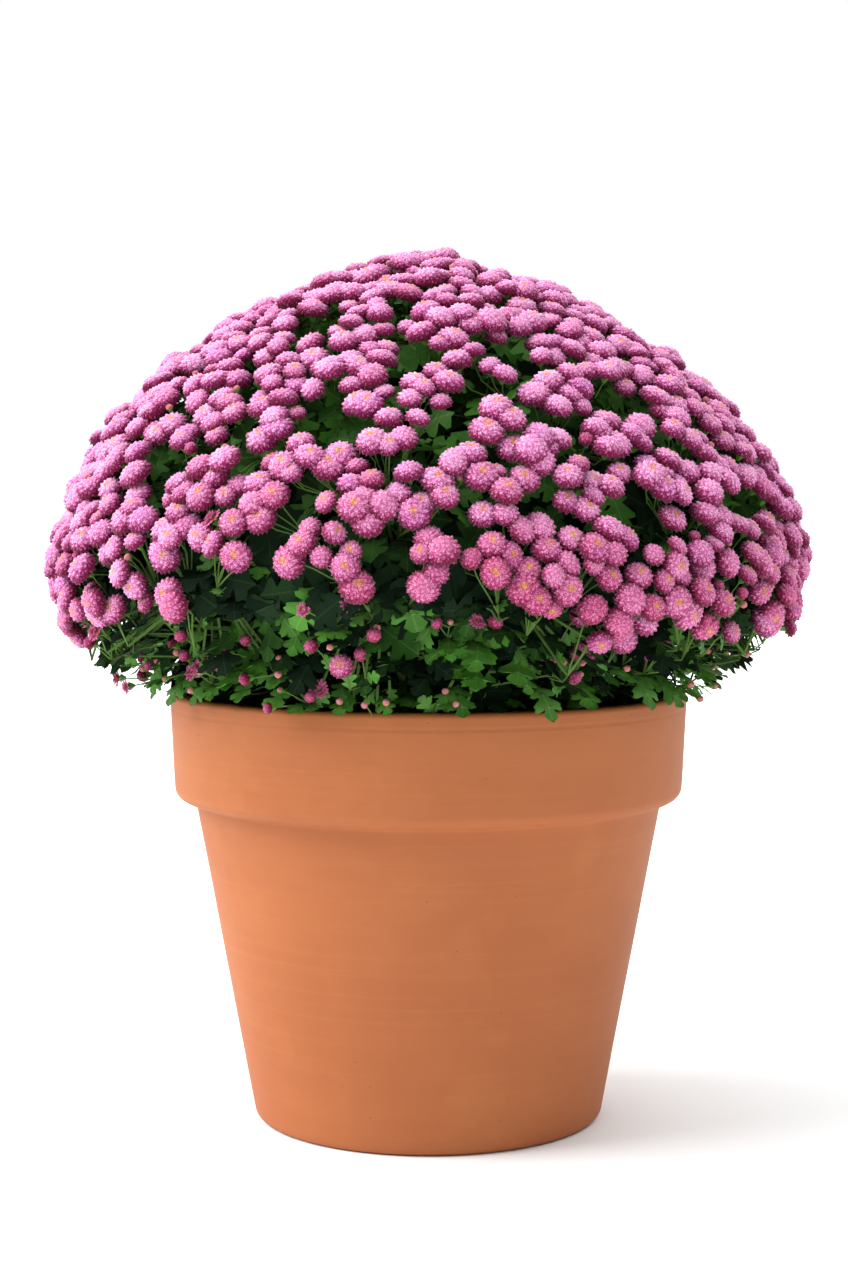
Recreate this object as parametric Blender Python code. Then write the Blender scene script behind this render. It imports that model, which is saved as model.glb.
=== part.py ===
"""A pot chrysanthemum: a dome of pink pompon blooms over lobed leaves, growing in a clay pot.

All sizes are in metres. The origin is the centre of the pot's underside, and +Z is up.
The plant grows by one rule. Bloom sites spiral down a dome at the golden angle, each site
belongs to the spray whose centre is nearest, and every spray stands on one leafy stem that
rises from a plain hole in the soil.
"""

import math
import random
from dataclasses import dataclass

import bmesh
import bpy
import numpy as np
from mathutils import Matrix, Vector
from mathutils.bvhtree import BVHTree

# Pot: outside radii, heights and wall
RIM_RADIUS = 0.2000
COLLAR_FOOT_RADIUS = 0.1960
BODY_TOP_RADIUS = 0.1806
BASE_RADIUS = 0.1346
POT_HEIGHT = 0.3310
COLLAR_HEIGHT = 0.0828
POT_WALL = 0.0130
POT_FLOOR = 0.0160
FOOT_ROUND = 0.0070
COLLAR_ROUND = 0.0095
RIM_ROUND = 0.0035
DRAIN_RADIUS = 0.0130
POT_SIDES = 32

# Soil: its level and the plain holes for the stems
SOIL_TOP = 0.3000
SOIL_MOUND = 0.0040
SOIL_EDGE = 0.0060
SOIL_STEM_REACH = 0.1500
HOLE_DEPTH = 0.0300
CLEARANCE = 0.0003
HOLE_SLACK = 0.0004

# Dome of blooms: the surface that runs through the middle of the blooms
DOME_RADIUS = 0.2915
DOME_WAIST = 0.4200
DOME_RISE = 0.2450
DOME_DROP = 0.1200
DOME_POINT = 1.163
SWELL = 0.0040

# Blooms: how many sites, how they vary, and the relief of one bloom
SITE_COUNT = 655
SITE_THETA_END = math.radians(136.0)
SITE_JITTER = 0.16
LIFT_RANGE = (-0.0035, 0.0045)
BLOOM_PEAK = 0.0070
PETAL_EDGE = -0.0020
PETAL_NOTCH = -0.0080
BLOOM_DEPTH = -0.0135
EDGE_PULL = 0.0016
NOTCH_PULL = 0.0042

# Sprays: one bloom cluster and one leafy stem each
SPRAY_COUNT = 24
SPRAY_THETA_END = math.radians(103.0)
GAP_COUNT = 34
GAP_THETA_START = math.radians(14.0)

# Stems, flower stalks and leaf stalks
STEM_RADIUS = 0.0034
STEM_STRAIGHT = 0.0100
FORK_DEPTH = 0.0520
STALKS_PER_SPRAY = 4
STALK_RADIUS = 0.0016
STALK_ROOT = 0.0010
STALK_SPREAD = 0.0450
PETIOLE_RADIUS = 0.0012
STALK_GAP = 0.00033
ROOT_DROP = 0.0150

# Leaves: the skirt's top and bottom rows are each a radius, a height, a dip and a length
SKIRT_LEAVES = 84
SKIRT_TOP = (0.2580, 0.4380, math.radians(76.0), 0.0620)
SKIRT_BOTTOM = (0.1930, 0.3520, math.radians(32.0), 0.0500)
SKIRT_FIRST_EDGE = math.radians(92.0)
SKIRT_EDGE_RUN = math.radians(44.0)
SKIRT_START = 0.4
SKIRT_STEM_THETA = math.radians(66.0)
SKIRT_TURN = math.radians(48.0)
GAP_LEAF_LENGTH = 0.0460
GAP_LEAF_DEPTH = 0.0290
GAP_LEAF_TILT = math.radians(-10.0)
LEAF_HALF_THICKNESS = 0.0011
LEAF_CLEARANCE = 0.0006

# One leaf in units of its length: half outline from stalk to tip, two points of the rib,
# how far the rib arches and the lobes droop, and the sharpest bend where the stalk joins
LEAF_OUTLINE = ((0.00, 0.035), (0.20, 0.34), (0.40, 0.17), (0.64, 0.37), (0.72, 0.19), (1.00, 0.0))
LEAF_RIB = (0.30, 0.66)
LEAF_ARCH = 0.16
LEAF_ARCH_TOP = 0.55
LEAF_DROOP = 0.70
LEAF_BLADE_FACES = 27
LEAF_BEND_COSINE = 0.10

GOLDEN_ANGLE = math.pi * (3.0 - math.sqrt(5.0))
SMOOTH_ANGLE = math.radians(32.0)
SEED = 20

TERRACOTTA = ((0.610, 0.225, 0.095, 1.0), 0.82)
SOIL_BROWN = ((0.030, 0.018, 0.011, 1.0), 0.95)
PETAL_PINK = ((0.560, 0.120, 0.370, 1.0), 0.60)
LEAF_GREEN = ((0.050, 0.135, 0.035, 1.0), 0.55)


@dataclass
class Site:
    """One place on the dome, where a bloom stands or a gap shows the leaves below."""

    point: Vector
    normal: Vector
    theta: float
    azimuth: float
    lift: float
    spray: int = -1
    bloom: bool = False

    def at(self, depth):
        """The point at a height along the site's own direction, lifted with its bloom."""
        return self.point + self.normal * (self.lift + depth)


def make_material(name, look):
    """A plain finish with one colour and one roughness."""
    colour, roughness = look
    material = bpy.data.materials.new(name)
    material.use_nodes = True
    shader = material.node_tree.nodes["Principled BSDF"]
    shader.inputs["Base Color"].default_value = colour
    shader.inputs["Roughness"].default_value = roughness
    shader.inputs["Metallic"].default_value = 0.0
    return material


def make_object(name, mesh, material, smooth_angle=None):
    """Put a mesh in the scene under its name, in its finish."""
    mesh.name = name
    mesh.materials.clear()
    mesh.materials.append(material)
    if smooth_angle is not None:
        mesh.shade_smooth()
        mesh.set_sharp_from_angle(angle=smooth_angle)
    piece = bpy.data.objects.new(name, mesh)
    bpy.context.scene.collection.objects.link(piece)
    return piece


def mesh_from(vertices, faces, name="shape"):
    """A mesh from points and faces, with its faces turned outwards."""
    shape = bmesh.new()
    made = [shape.verts.new(vertex) for vertex in vertices]
    for face in faces:
        shape.faces.new([made[index] for index in face])
    bmesh.ops.recalc_face_normals(shape, faces=shape.faces)
    mesh = bpy.data.meshes.new(name)
    shape.to_mesh(mesh)
    shape.free()
    return mesh


def spin_profile(profile, sides, name):
    """Turn a closed outline of radii and heights round the upright axis."""
    vertices = []
    faces = []
    count = len(profile)
    for side in range(sides):
        angle = 2.0 * math.pi * side / sides
        for radius, height in profile:
            vertices.append((radius * math.cos(angle), radius * math.sin(angle), height))
    for side in range(sides):
        here = side * count
        there = (side + 1) % sides * count
        for step in range(count):
            following = (step + 1) % count
            faces.append((here + step, there + step, there + following, here + following))
    return mesh_from(vertices, faces, name)


# Pot and soil


def inner_radius(height):
    """Radius of the pot's inner wall at a height."""
    slope = (BODY_TOP_RADIUS - BASE_RADIUS) / (POT_HEIGHT - COLLAR_HEIGHT)
    return BASE_RADIUS + slope * height - POT_WALL


def build_pot(material):
    """The pot, with its foot, tapering body, rolled collar, floor and drain hole."""
    step = POT_HEIGHT - COLLAR_HEIGHT
    rim_wall = RIM_RADIUS - POT_WALL
    profile = [
        (DRAIN_RADIUS, 0.0),
        (BASE_RADIUS - FOOT_ROUND, 0.0),
        (BASE_RADIUS - 0.3 * FOOT_ROUND, 0.3 * FOOT_ROUND),
        (BASE_RADIUS + 0.2 * FOOT_ROUND, FOOT_ROUND),
        (BODY_TOP_RADIUS, step),
        (COLLAR_FOOT_RADIUS - 0.5 * COLLAR_ROUND, step + 0.1 * COLLAR_ROUND),
        (COLLAR_FOOT_RADIUS - 0.1 * COLLAR_ROUND, step + 0.4 * COLLAR_ROUND),
        (COLLAR_FOOT_RADIUS, step + COLLAR_ROUND),
        (RIM_RADIUS, POT_HEIGHT - RIM_ROUND),
        (RIM_RADIUS - RIM_ROUND, POT_HEIGHT),
        (rim_wall + RIM_ROUND, POT_HEIGHT),
        (rim_wall, POT_HEIGHT - RIM_ROUND),
        (inner_radius(SOIL_TOP - SOIL_EDGE), SOIL_TOP - SOIL_EDGE),
        (inner_radius(POT_FLOOR), POT_FLOOR),
        (DRAIN_RADIUS, POT_FLOOR),
    ]
    return make_object("pot", spin_profile(profile, POT_SIDES, "pot"), material, SMOOTH_ANGLE)


def soil_holes(stems):
    """Square cutters, one for each stem, a clearance wider than the stem."""
    vertices = []
    faces = []
    for stem in stems:
        first = len(vertices)
        half = STEM_RADIUS + CLEARANCE + HOLE_SLACK
        for height in (stem.foot.z - CLEARANCE, SOIL_TOP + HOLE_DEPTH):
            centre = Vector((stem.foot.x, stem.foot.y, height))
            for turn in range(4):
                angle = stem.azimuth + 0.5 * math.pi * turn
                vertices.append(centre + Vector((math.cos(angle), math.sin(angle), 0.0)) * half)
        faces.append((first + 3, first + 2, first + 1, first))
        faces.append((first + 4, first + 5, first + 6, first + 7))
        for turn in range(4):
            following = (turn + 1) % 4
            faces.append((first + turn, first + following, first + 4 + following, first + 4 + turn))
    cutter = bpy.data.objects.new("soil_cutter", mesh_from(vertices, faces, "soil_cutter"))
    bpy.context.scene.collection.objects.link(cutter)
    cutter.hide_render = True
    cutter.display_type = "WIRE"
    return cutter


def build_soil(stems, material):
    """The soil that fills the pot, a clearance off its wall and floor, with its stem holes."""
    shoulder = SOIL_TOP - SOIL_EDGE
    shrink = CLEARANCE + HOLE_SLACK
    rings = [
        (inner_radius(POT_FLOOR) - shrink, POT_FLOOR + CLEARANCE),
        (inner_radius(shoulder) - shrink, shoulder),
        (inner_radius(shoulder) - shrink - SOIL_EDGE, SOIL_TOP),
    ]
    vertices = [(0.0, 0.0, POT_FLOOR + CLEARANCE), (0.0, 0.0, SOIL_TOP + SOIL_MOUND)]
    faces = []
    for side in range(POT_SIDES):
        angle = 2.0 * math.pi * side / POT_SIDES
        for radius, height in rings:
            vertices.append((radius * math.cos(angle), radius * math.sin(angle), height))
    for side in range(POT_SIDES):
        here = 2 + side * len(rings)
        there = 2 + (side + 1) % POT_SIDES * len(rings)
        faces.append((0, there, here))
        faces.append((1, here + len(rings) - 1, there + len(rings) - 1))
        for step in range(len(rings) - 1):
            faces.append((here + step, there + step, there + step + 1, here + step + 1))
    soil = make_object("soil", mesh_from(vertices, faces, "soil"), material)
    cutter = soil_holes(stems)
    cut = soil.modifiers.new("stem holes", "BOOLEAN")
    cut.operation = "DIFFERENCE"
    cut.solver = "EXACT"
    cut.object = cutter
    return soil


# Dome and growth rule


def dome_profile(theta):
    """Radius and height of the dome at an angle from its top."""
    across = math.sin(theta)
    along = math.cos(theta)
    if along >= 0.0:
        return DOME_RADIUS * across**DOME_POINT, DOME_WAIST + DOME_RISE * along**DOME_POINT
    return DOME_RADIUS * across, DOME_WAIST + DOME_DROP * along


def dome_frame(theta, azimuth):
    """Point and outward direction of the dome at two angles."""
    radius, height = dome_profile(theta)
    reach = 0.01
    low = dome_profile(max(theta - reach, 0.001))
    high = dome_profile(min(theta + reach, math.pi - 0.001))
    slope = Vector((high[0] - low[0], high[1] - low[1])).normalized()
    around = Vector((math.cos(azimuth), math.sin(azimuth), 0.0))
    point = around * radius + Vector((0.0, 0.0, height))
    normal = around * -slope.y + Vector((0.0, 0.0, slope.x))
    return point, normal.normalized()


def dome_area_table(theta_end, steps=600):
    """Angles from the top, and the share of the dome's surface above each."""
    thetas = np.linspace(0.0, theta_end, steps)
    places = np.array([dome_profile(theta) for theta in thetas])
    runs = np.hypot(*np.diff(places, axis=0).T)
    rings = 2.0 * math.pi * 0.5 * (places[1:, 0] + places[:-1, 0]) * runs
    area = np.concatenate([[0.0], np.cumsum(rings)])
    return thetas, area


def swell(theta, azimuth):
    """Slow rise and fall of the dome, where sprays grew a little taller or shorter."""
    broad = math.sin(3.0 * azimuth + 0.9) * math.sin(2.2 * theta + 0.5)
    fine = math.sin(7.0 * azimuth + 4.0 * theta + 2.0) * math.sin(theta)
    return SWELL * (0.6 * broad + 0.6 * fine)


def bloom_edge(azimuth):
    """Angle from the top at which the blooms end and the leaf skirt begins."""
    from_front = azimuth + 0.5 * math.pi
    wave = -7.5 * math.cos(2.0 * from_front + 0.44) + 4.5 * math.sin(4.0 * from_front - 0.17)
    return math.radians(101.5 + wave + 2.0 * math.sin(9.0 * from_front + 2.0))


def grow_sites(rng):
    """Bloom sites at the golden angle, each on an equal share of the dome's surface."""
    thetas, area = dome_area_table(SITE_THETA_END)
    spacing = math.sqrt(area[-1] / SITE_COUNT)
    sites = []
    for index in range(SITE_COUNT):
        theta = float(np.interp((index + 0.5) / SITE_COUNT * area[-1], area, thetas))
        azimuth = index * GOLDEN_ANGLE
        radius = max(dome_profile(theta)[0], spacing)
        theta += rng.uniform(-SITE_JITTER, SITE_JITTER) * spacing / DOME_RADIUS
        azimuth += rng.uniform(-SITE_JITTER, SITE_JITTER) * spacing / radius
        theta = max(theta, 0.01)
        point, normal = dome_frame(theta, azimuth)
        lift = swell(theta, azimuth) + rng.uniform(*LIFT_RANGE)
        sites.append(Site(point, normal, theta, azimuth, lift))
    return sites


def spray_centres():
    """Centres of the sprays, at the golden angle over the part of the dome that blooms."""
    thetas, area = dome_area_table(SPRAY_THETA_END)
    centres = []
    for index in range(SPRAY_COUNT):
        theta = float(np.interp((index + 0.5) / SPRAY_COUNT * area[-1], area, thetas))
        point, normal = dome_frame(theta, index * GOLDEN_ANGLE)
        centres.append((point, normal, theta, index * GOLDEN_ANGLE))
    return centres


def join_sites(sites):
    """Triangles between neighbouring sites, from the convex hull of the dome."""
    shape = bmesh.new()
    for site in sites:
        shape.verts.new(site.point)
    shape.verts.ensure_lookup_table()
    shape.verts.index_update()
    bmesh.ops.convex_hull(shape, input=shape.verts)
    middle = Vector((0.0, 0.0, DOME_WAIST))
    triangles = []
    for face in shape.faces:
        corners = [vertex.index for vertex in face.verts]
        outward = face.normal.dot(face.calc_center_median() - middle) > 0.0
        triangles.append(tuple(corners if outward else reversed(corners)))
    shape.free()
    return sorted(triangles)


def neighbours_of(triangles, count):
    """For each site, the sites that share a triangle side with it."""
    near = [set() for _ in range(count)]
    for corners in triangles:
        for corner in corners:
            near[corner].update(corners)
    for index, others in enumerate(near):
        others.discard(index)
    return near


def assign_sprays(sites, centres):
    """Give each bloom to the nearest spray."""
    for site in sites:
        site.bloom = site.theta < bloom_edge(site.azimuth)
        distances = [(site.point - centre[0]).length for centre in centres]
        site.spray = distances.index(min(distances))


def open_gaps(sites, near, rng):
    """Leave a few sites of each spray without a bloom, never two side by side."""
    gaps = []
    opened = [0] * SPRAY_COUNT
    most = math.ceil(GAP_COUNT / SPRAY_COUNT)
    order = [index for index, site in enumerate(sites) if site.bloom]
    rng.shuffle(order)
    for index in order:
        site = sites[index]
        crowded = any(not sites[other].bloom for other in near[index])
        full = opened[site.spray] >= most or len(gaps) >= GAP_COUNT
        if crowded or full or site.theta < GAP_THETA_START:
            continue
        site.bloom = False
        opened[site.spray] += 1
        gaps.append(index)
    return sorted(gaps)


def keep_sprays_whole(sites, near):
    """Move a bloom that its own spray doesn't touch to a spray beside it, or drop it."""
    for spray in range(SPRAY_COUNT):
        left = {index for index, site in enumerate(sites) if site.bloom and site.spray == spray}
        groups = []
        while left:
            group = {left.pop()}
            edge = set(group)
            while edge:
                edge = {other for index in edge for other in near[index]} & left
                left -= edge
                group |= edge
            groups.append(group)
        groups.sort(key=len, reverse=True)
        for group in groups[1:]:
            for index in sorted(group):
                beside = [sites[o].spray for o in near[index] if sites[o].bloom and o not in group]
                sites[index].bloom = bool(beside)
                sites[index].spray = max(set(beside), key=beside.count) if beside else spray


# Bloom clusters


def petal_edge_point(sites, index, other, spray):
    """Low point of the petals between two neighbours, drawn in where the spray ends."""
    one, two = sites[index], sites[other]
    middle = (one.at(PETAL_EDGE) + two.at(PETAL_EDGE)) * 0.5
    own = [site for site in (one, two) if site.bloom and site.spray == spray]
    if len(own) == 2:
        return middle
    return middle + (own[0].point - middle).normalized() * EDGE_PULL


def petal_notch_point(sites, corners, spray):
    """Deep point between three neighbours, drawn in where the spray ends."""
    middle = sum((sites[corner].at(PETAL_NOTCH) for corner in corners), Vector()) / 3.0
    own = [sites[c].point for c in corners if sites[c].bloom and sites[c].spray == spray]
    if len(own) == 3:
        return middle
    towards = sum(own, Vector()) / len(own) - middle
    return middle + towards.normalized() * NOTCH_PULL


def build_cluster(spray, sites, triangles, material):
    """One spray of blooms: six petal ridges on each bloom, over a thin closed underside."""
    shape = bmesh.new()
    made = {}

    def vertex(key, place):
        if key not in made:
            made[key] = shape.verts.new(place)
        return made[key]

    def own(index):
        return sites[index].bloom and sites[index].spray == spray

    def peak(index):
        return vertex(("peak", index), sites[index].at(BLOOM_PEAK))

    def below(index):
        return vertex(("below", index), sites[index].at(BLOOM_DEPTH))

    def edge(index, other):
        key = ("edge", min(index, other), max(index, other))
        return vertex(key, petal_edge_point(sites, index, other, spray))

    for corners in triangles:
        mine = [corner for corner in corners if own(corner)]
        if not mine:
            continue
        notch = vertex(("notch", corners), petal_notch_point(sites, corners, spray))
        for place in range(3):
            here, following, before = (corners[(place + step) % 3] for step in (0, 1, 2))
            if own(here):
                shape.faces.new((peak(here), edge(here, following), notch))
                shape.faces.new((peak(here), notch, edge(here, before)))
            if len(mine) == 3:
                continue
            if own(here) and not own(following):
                shape.faces.new((below(here), notch, edge(here, following)))
            if own(here) and not own(before):
                shape.faces.new((below(here), edge(here, before), notch))
            if own(here) and own(following):
                shape.faces.new((below(following), below(here), notch))
        if len(mine) == 3:
            shape.faces.new([below(corner) for corner in reversed(corners)])
    mesh = bpy.data.meshes.new("cluster")
    shape.to_mesh(mesh)
    shape.free()
    return make_object(f"bloom_cluster_{spray + 1:02d}", mesh, material)


# Stems and leaves


@dataclass
class Stem:
    """The course of one main stem, from its hole in the soil to its fork under the spray."""

    foot: Vector
    bend: Vector
    fork: Vector
    azimuth: float
    theta: float

    def root_for(self, place):
        """The point of the upper stem, a little below a place, where its leaf stalk begins."""
        run = self.fork - self.bend
        share = (place - self.bend).dot(run) / run.length_squared - ROOT_DROP / run.length
        return self.bend + run * min(max(share, 0.15), 0.97)


def lay_out_stems(centres):
    """Stems in the order of their sprays, each in the upright plane through its spray."""
    stems = []
    for index, (point, normal, theta, azimuth) in enumerate(centres):
        reach = SOIL_STEM_REACH * math.sqrt((index + 0.5) / SPRAY_COUNT)
        around = Vector((math.cos(azimuth), math.sin(azimuth), 0.0))
        foot = around * reach + Vector((0.0, 0.0, SOIL_TOP - HOLE_DEPTH))
        bend = around * reach + Vector((0.0, 0.0, SOIL_TOP + STEM_STRAIGHT))
        fork = point + normal * (swell(theta, azimuth) - FORK_DEPTH)
        stems.append(Stem(foot, bend, fork, azimuth, theta))
    return stems


def crosswise(direction, hint):
    """Two directions at right angles to a run and to each other."""
    side = direction.cross(hint)
    side.normalize()
    return side, side.cross(direction).normalized()


def stem_mesh(stem):
    """A four-sided stem that stands upright in its hole, then leans to its fork."""
    vertices = []
    faces = []
    lean = (stem.fork - stem.bend).normalized()
    rings = (
        (stem.foot, Vector((0.0, 0.0, 1.0)), STEM_RADIUS),
        (stem.bend, (lean + Vector((0.0, 0.0, 1.0))).normalized(), STEM_RADIUS),
        (stem.fork, lean, 0.8 * STEM_RADIUS),
    )
    around = Vector((math.cos(stem.azimuth), math.sin(stem.azimuth), 0.0))
    side = Vector((-around.y, around.x, 0.0))
    for centre, direction, radius in rings:
        front = side.cross(direction).normalized()
        for turn in range(4):
            angle = 0.5 * math.pi * turn
            spot = side * math.sin(angle) + front * math.cos(angle)
            vertices.append(centre + spot * radius)
    for ring in range(len(rings) - 1):
        for turn in range(4):
            following = (turn + 1) % 4
            low = 4 * ring
            faces.append((low + turn, low + following, low + 4 + following, low + 4 + turn))
    faces.append((3, 2, 1, 0))
    faces.append(tuple(4 * (len(rings) - 1) + turn for turn in range(4)))
    return mesh_from(vertices, faces, "stem")


def stalk_to(site, stem):
    """A three-sided flower stalk from the fork, narrowing to a point just under its bloom."""
    seat = site.at(BLOOM_DEPTH)
    direction = (seat - stem.fork).normalized()
    start = stem.fork - direction * STALK_ROOT
    side, front = crosswise(direction, Vector((0.0, 0.0, 1.0)))
    vertices = []
    for turn in range(3):
        angle = 2.0 * math.pi * turn / 3.0
        spot = side * math.cos(angle) + front * math.sin(angle)
        vertices.append(start + spot * STALK_RADIUS)
    vertices.append(seat - direction * STALK_GAP)
    faces = [(2, 1, 0), (0, 1, 3), (1, 2, 3), (2, 0, 3)]
    return mesh_from(vertices, faces, "stalk")


@dataclass
class Leaf:
    """Where a leaf sits: its base, the way it points, the way its face looks, its length."""

    base: Vector
    direction: Vector
    face: Vector
    length: float
    root: Vector

    def stalk(self):
        """The way the leaf stalk runs, from its root on the stem to the blade."""
        return (self.base - self.root).normalized()

    def ring(self, centre, along):
        """Three corners of the leaf stalk: two beside the rib and one below it."""
        along = along.normalized()
        side = self.face.cross(self.direction)
        side = (side - along * side.dot(along)).normalized()
        lift = along.cross(side)
        corners = ((1.0, 0.5), (-1.0, 0.5), (0.0, -1.0))
        return [centre + (side * a + lift * b) * PETIOLE_RADIUS for a, b in corners]

    def place(self, along, across, height):
        """A point of the leaf from its place along, across and above the blade."""
        side = self.face.cross(self.direction)
        sag = LEAF_ARCH * along * (along - LEAF_ARCH_TOP) + LEAF_DROOP * across * across
        run = self.direction * along + side * across - self.face * sag
        return self.base + run * self.length + self.face * height


def leaf_mesh(leaf):
    """A lobed blade with its stalk, split alike on both faces, thickest along the rib."""
    half = list(LEAF_OUTLINE)
    outline = half + [(along, -across) for along, across in reversed(half[:-1])]
    vertices = [leaf.place(along, across, 0.0) for along, across in outline]
    top = len(vertices)
    vertices.extend(leaf.place(along, 0.0, LEAF_HALF_THICKNESS) for along in LEAF_RIB)
    low = len(vertices)
    vertices.extend(leaf.place(along, 0.0, -LEAF_HALF_THICKNESS) for along in LEAF_RIB)
    keel = len(vertices)
    last = len(outline) - 1
    stalk = leaf.stalk()
    vertices[0], vertices[last], base_keel = leaf.ring(leaf.base, stalk + leaf.direction)
    vertices.append(base_keel)
    faces = []
    for rib, flip in ((top, False), (low, True)):
        fans = []
        for start, count, centre in ((0, 2, rib), (2, 6, rib + 1), (8, 2, rib)):
            for step in range(start, start + count):
                fans.append((step, step + 1, centre))
        fans.append((2, rib + 1, rib))
        fans.append((8, rib, rib + 1))
        if flip:
            fans.append((last, keel, rib))
            fans.append((keel, 0, rib))
        else:
            fans.append((last, 0, rib))
        faces.extend(tuple(reversed(fan)) if flip else fan for fan in fans)
    root = len(vertices)
    vertices.extend(leaf.ring(leaf.root, stalk))
    ring = (0, last, keel)
    ends = (root, root + 1, root + 2)
    for turn in range(3):
        following = (turn + 1) % 3
        faces.append((ring[turn], ring[following], ends[following], ends[turn]))
    faces.append(ends)
    return mesh_from(vertices, faces, "leaf")


def tree_of(mesh, grow=0.0, first_faces=None):
    """A search tree over a mesh's faces, the mesh pushed out a little along its normals."""
    shape = bmesh.new()
    shape.from_mesh(mesh)
    shape.normal_update()
    places = [vertex.co + vertex.normal * grow for vertex in shape.verts]
    faces = [[vertex.index for vertex in face.verts] for face in shape.faces]
    shape.free()
    return BVHTree.FromPolygons(places, faces[:first_faces])


def blocked(owner, whole, blade, taken):
    """Whether a leaf meets a piece that stands: another stem's, or its own stem's blades."""
    for name, other_whole, other_blade in taken:
        if name != owner and whole.overlap(other_whole):
            return True
        if name == owner and blade.overlap(other_whole):
            return True
        if name == owner and other_blade and whole.overlap(other_blade):
            return True
    return False


def skirt_leaf(share, azimuth, turn, scale):
    """A leaf of the skirt: steep under the blooms, reaching out over the rim at the bottom."""
    rows = zip(SKIRT_TOP, SKIRT_BOTTOM)
    radius, height, dip, length = (top + (bottom - top) * share for top, bottom in rows)
    around = Vector((math.cos(azimuth), math.sin(azimuth), 0.0))
    base = around * radius + Vector((0.0, 0.0, height))
    down = around * math.cos(dip) - Vector((0.0, 0.0, math.sin(dip)))
    face = around * math.sin(dip) + Vector((0.0, 0.0, math.cos(dip)))
    spin = Matrix.Rotation(turn, 3, face)
    return Leaf(base, spin @ down, face, length * scale, Vector())


def gap_leaf(site, turn, scale):
    """A leaf that lies under a gap between blooms, so that the gap shows green."""
    down, _ = crosswise(site.normal, Vector((0.0, 0.0, 1.0)))
    direction = Matrix.Rotation(turn, 3, site.normal) @ down
    length = GAP_LEAF_LENGTH * scale
    base = site.at(-GAP_LEAF_DEPTH) - direction * 0.5 * length
    tilt = Matrix.Rotation(GAP_LEAF_TILT, 3, direction.cross(site.normal))
    return Leaf(base, tilt @ direction, tilt @ site.normal, length, Vector())


def turns_to_try(first):
    """The turns and sizes that a leaf is offered until it clears its neighbours."""
    for scale in (1.0, 0.88, 0.76):
        for step in (0.0, 0.35, -0.35, 0.7, -0.7, 1.05, -1.05):
            yield first + step, scale


def nearest_stem(stems, azimuth, lowest):
    """The stem whose upright plane is nearest an azimuth, among those that end low."""
    best = None
    for index in lowest:
        off = abs((azimuth - stems[index].azimuth + math.pi) % (2.0 * math.pi) - math.pi)
        if best is None or off < best[0]:
            best = (off, index)
    return best[1]


def grow_leaves(sites, gaps, stems, taken, rng):
    """Leaves of the skirt and of the gaps, each turned until it clears the other pieces."""
    leaves = [[] for _ in stems]

    def settle(owner, offers):
        for leaf in offers:
            leaf.root = stems[owner].root_for(leaf.base)
            if leaf.stalk().dot(leaf.direction) < LEAF_BEND_COSINE:
                continue
            mesh = leaf_mesh(leaf)
            whole = tree_of(mesh, LEAF_CLEARANCE)
            blade = tree_of(mesh, LEAF_CLEARANCE, LEAF_BLADE_FACES)
            if not blocked(owner, whole, blade, taken):
                leaves[owner].append(mesh)
                taken.append((owner, whole, blade))
                return
            bpy.data.meshes.remove(mesh)

    for index in gaps:
        site = sites[index]
        first = rng.uniform(-math.pi, math.pi)
        settle(site.spray, (gap_leaf(site, turn, scale) for turn, scale in turns_to_try(first)))
    lowest = [index for index, stem in enumerate(stems) if stem.theta > SKIRT_STEM_THETA]
    for index in range(SKIRT_LEAVES):
        azimuth = index * GOLDEN_ANGLE + SKIRT_START
        hidden = max((bloom_edge(azimuth) - SKIRT_FIRST_EDGE) / SKIRT_EDGE_RUN, 0.0)
        share = hidden + (1.0 - hidden) * (index + 0.5) / SKIRT_LEAVES
        first = rng.uniform(-SKIRT_TURN, SKIRT_TURN)
        owner = nearest_stem(stems, azimuth, lowest)
        settle(owner, (skirt_leaf(share, azimuth, *offer) for offer in turns_to_try(first)))
    return leaves


def pick_stalk_sites(spray, sites, centre):
    """The blooms of a spray that get a stalk: the one over the fork, and a ring round it."""
    own = [index for index, site in enumerate(sites) if site.bloom and site.spray == spray]
    own.sort(key=lambda index: (sites[index].point - centre).length)
    picked = own[:1]
    for index in own[1:]:
        apart = min((sites[index].point - sites[other].point).length for other in picked)
        if apart > STALK_SPREAD and len(picked) < STALKS_PER_SPRAY:
            picked.append(index)
    return picked


def fuse(name, body, parts, material):
    """Join a stem with its stalks and leaves into one body."""
    piece = make_object(name, body, material)
    bunch = bpy.data.collections.new(name + "_parts")
    bpy.context.scene.collection.children.link(bunch)
    for part in parts:
        bunch.objects.link(bpy.data.objects.new("part", part))
    join = piece.modifiers.new("join", "BOOLEAN")
    join.operation = "UNION"
    join.operand_type = "COLLECTION"
    join.solver = "MANIFOLD"
    join.collection = bunch
    bpy.context.view_layer.update()
    graph = bpy.context.evaluated_depsgraph_get()
    joined = bpy.data.meshes.new_from_object(piece.evaluated_get(graph))
    piece.modifiers.clear()
    piece.data = joined
    joined.name = name
    for part in list(bunch.objects):
        bpy.data.objects.remove(part)
    bpy.data.collections.remove(bunch)
    return piece


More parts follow.
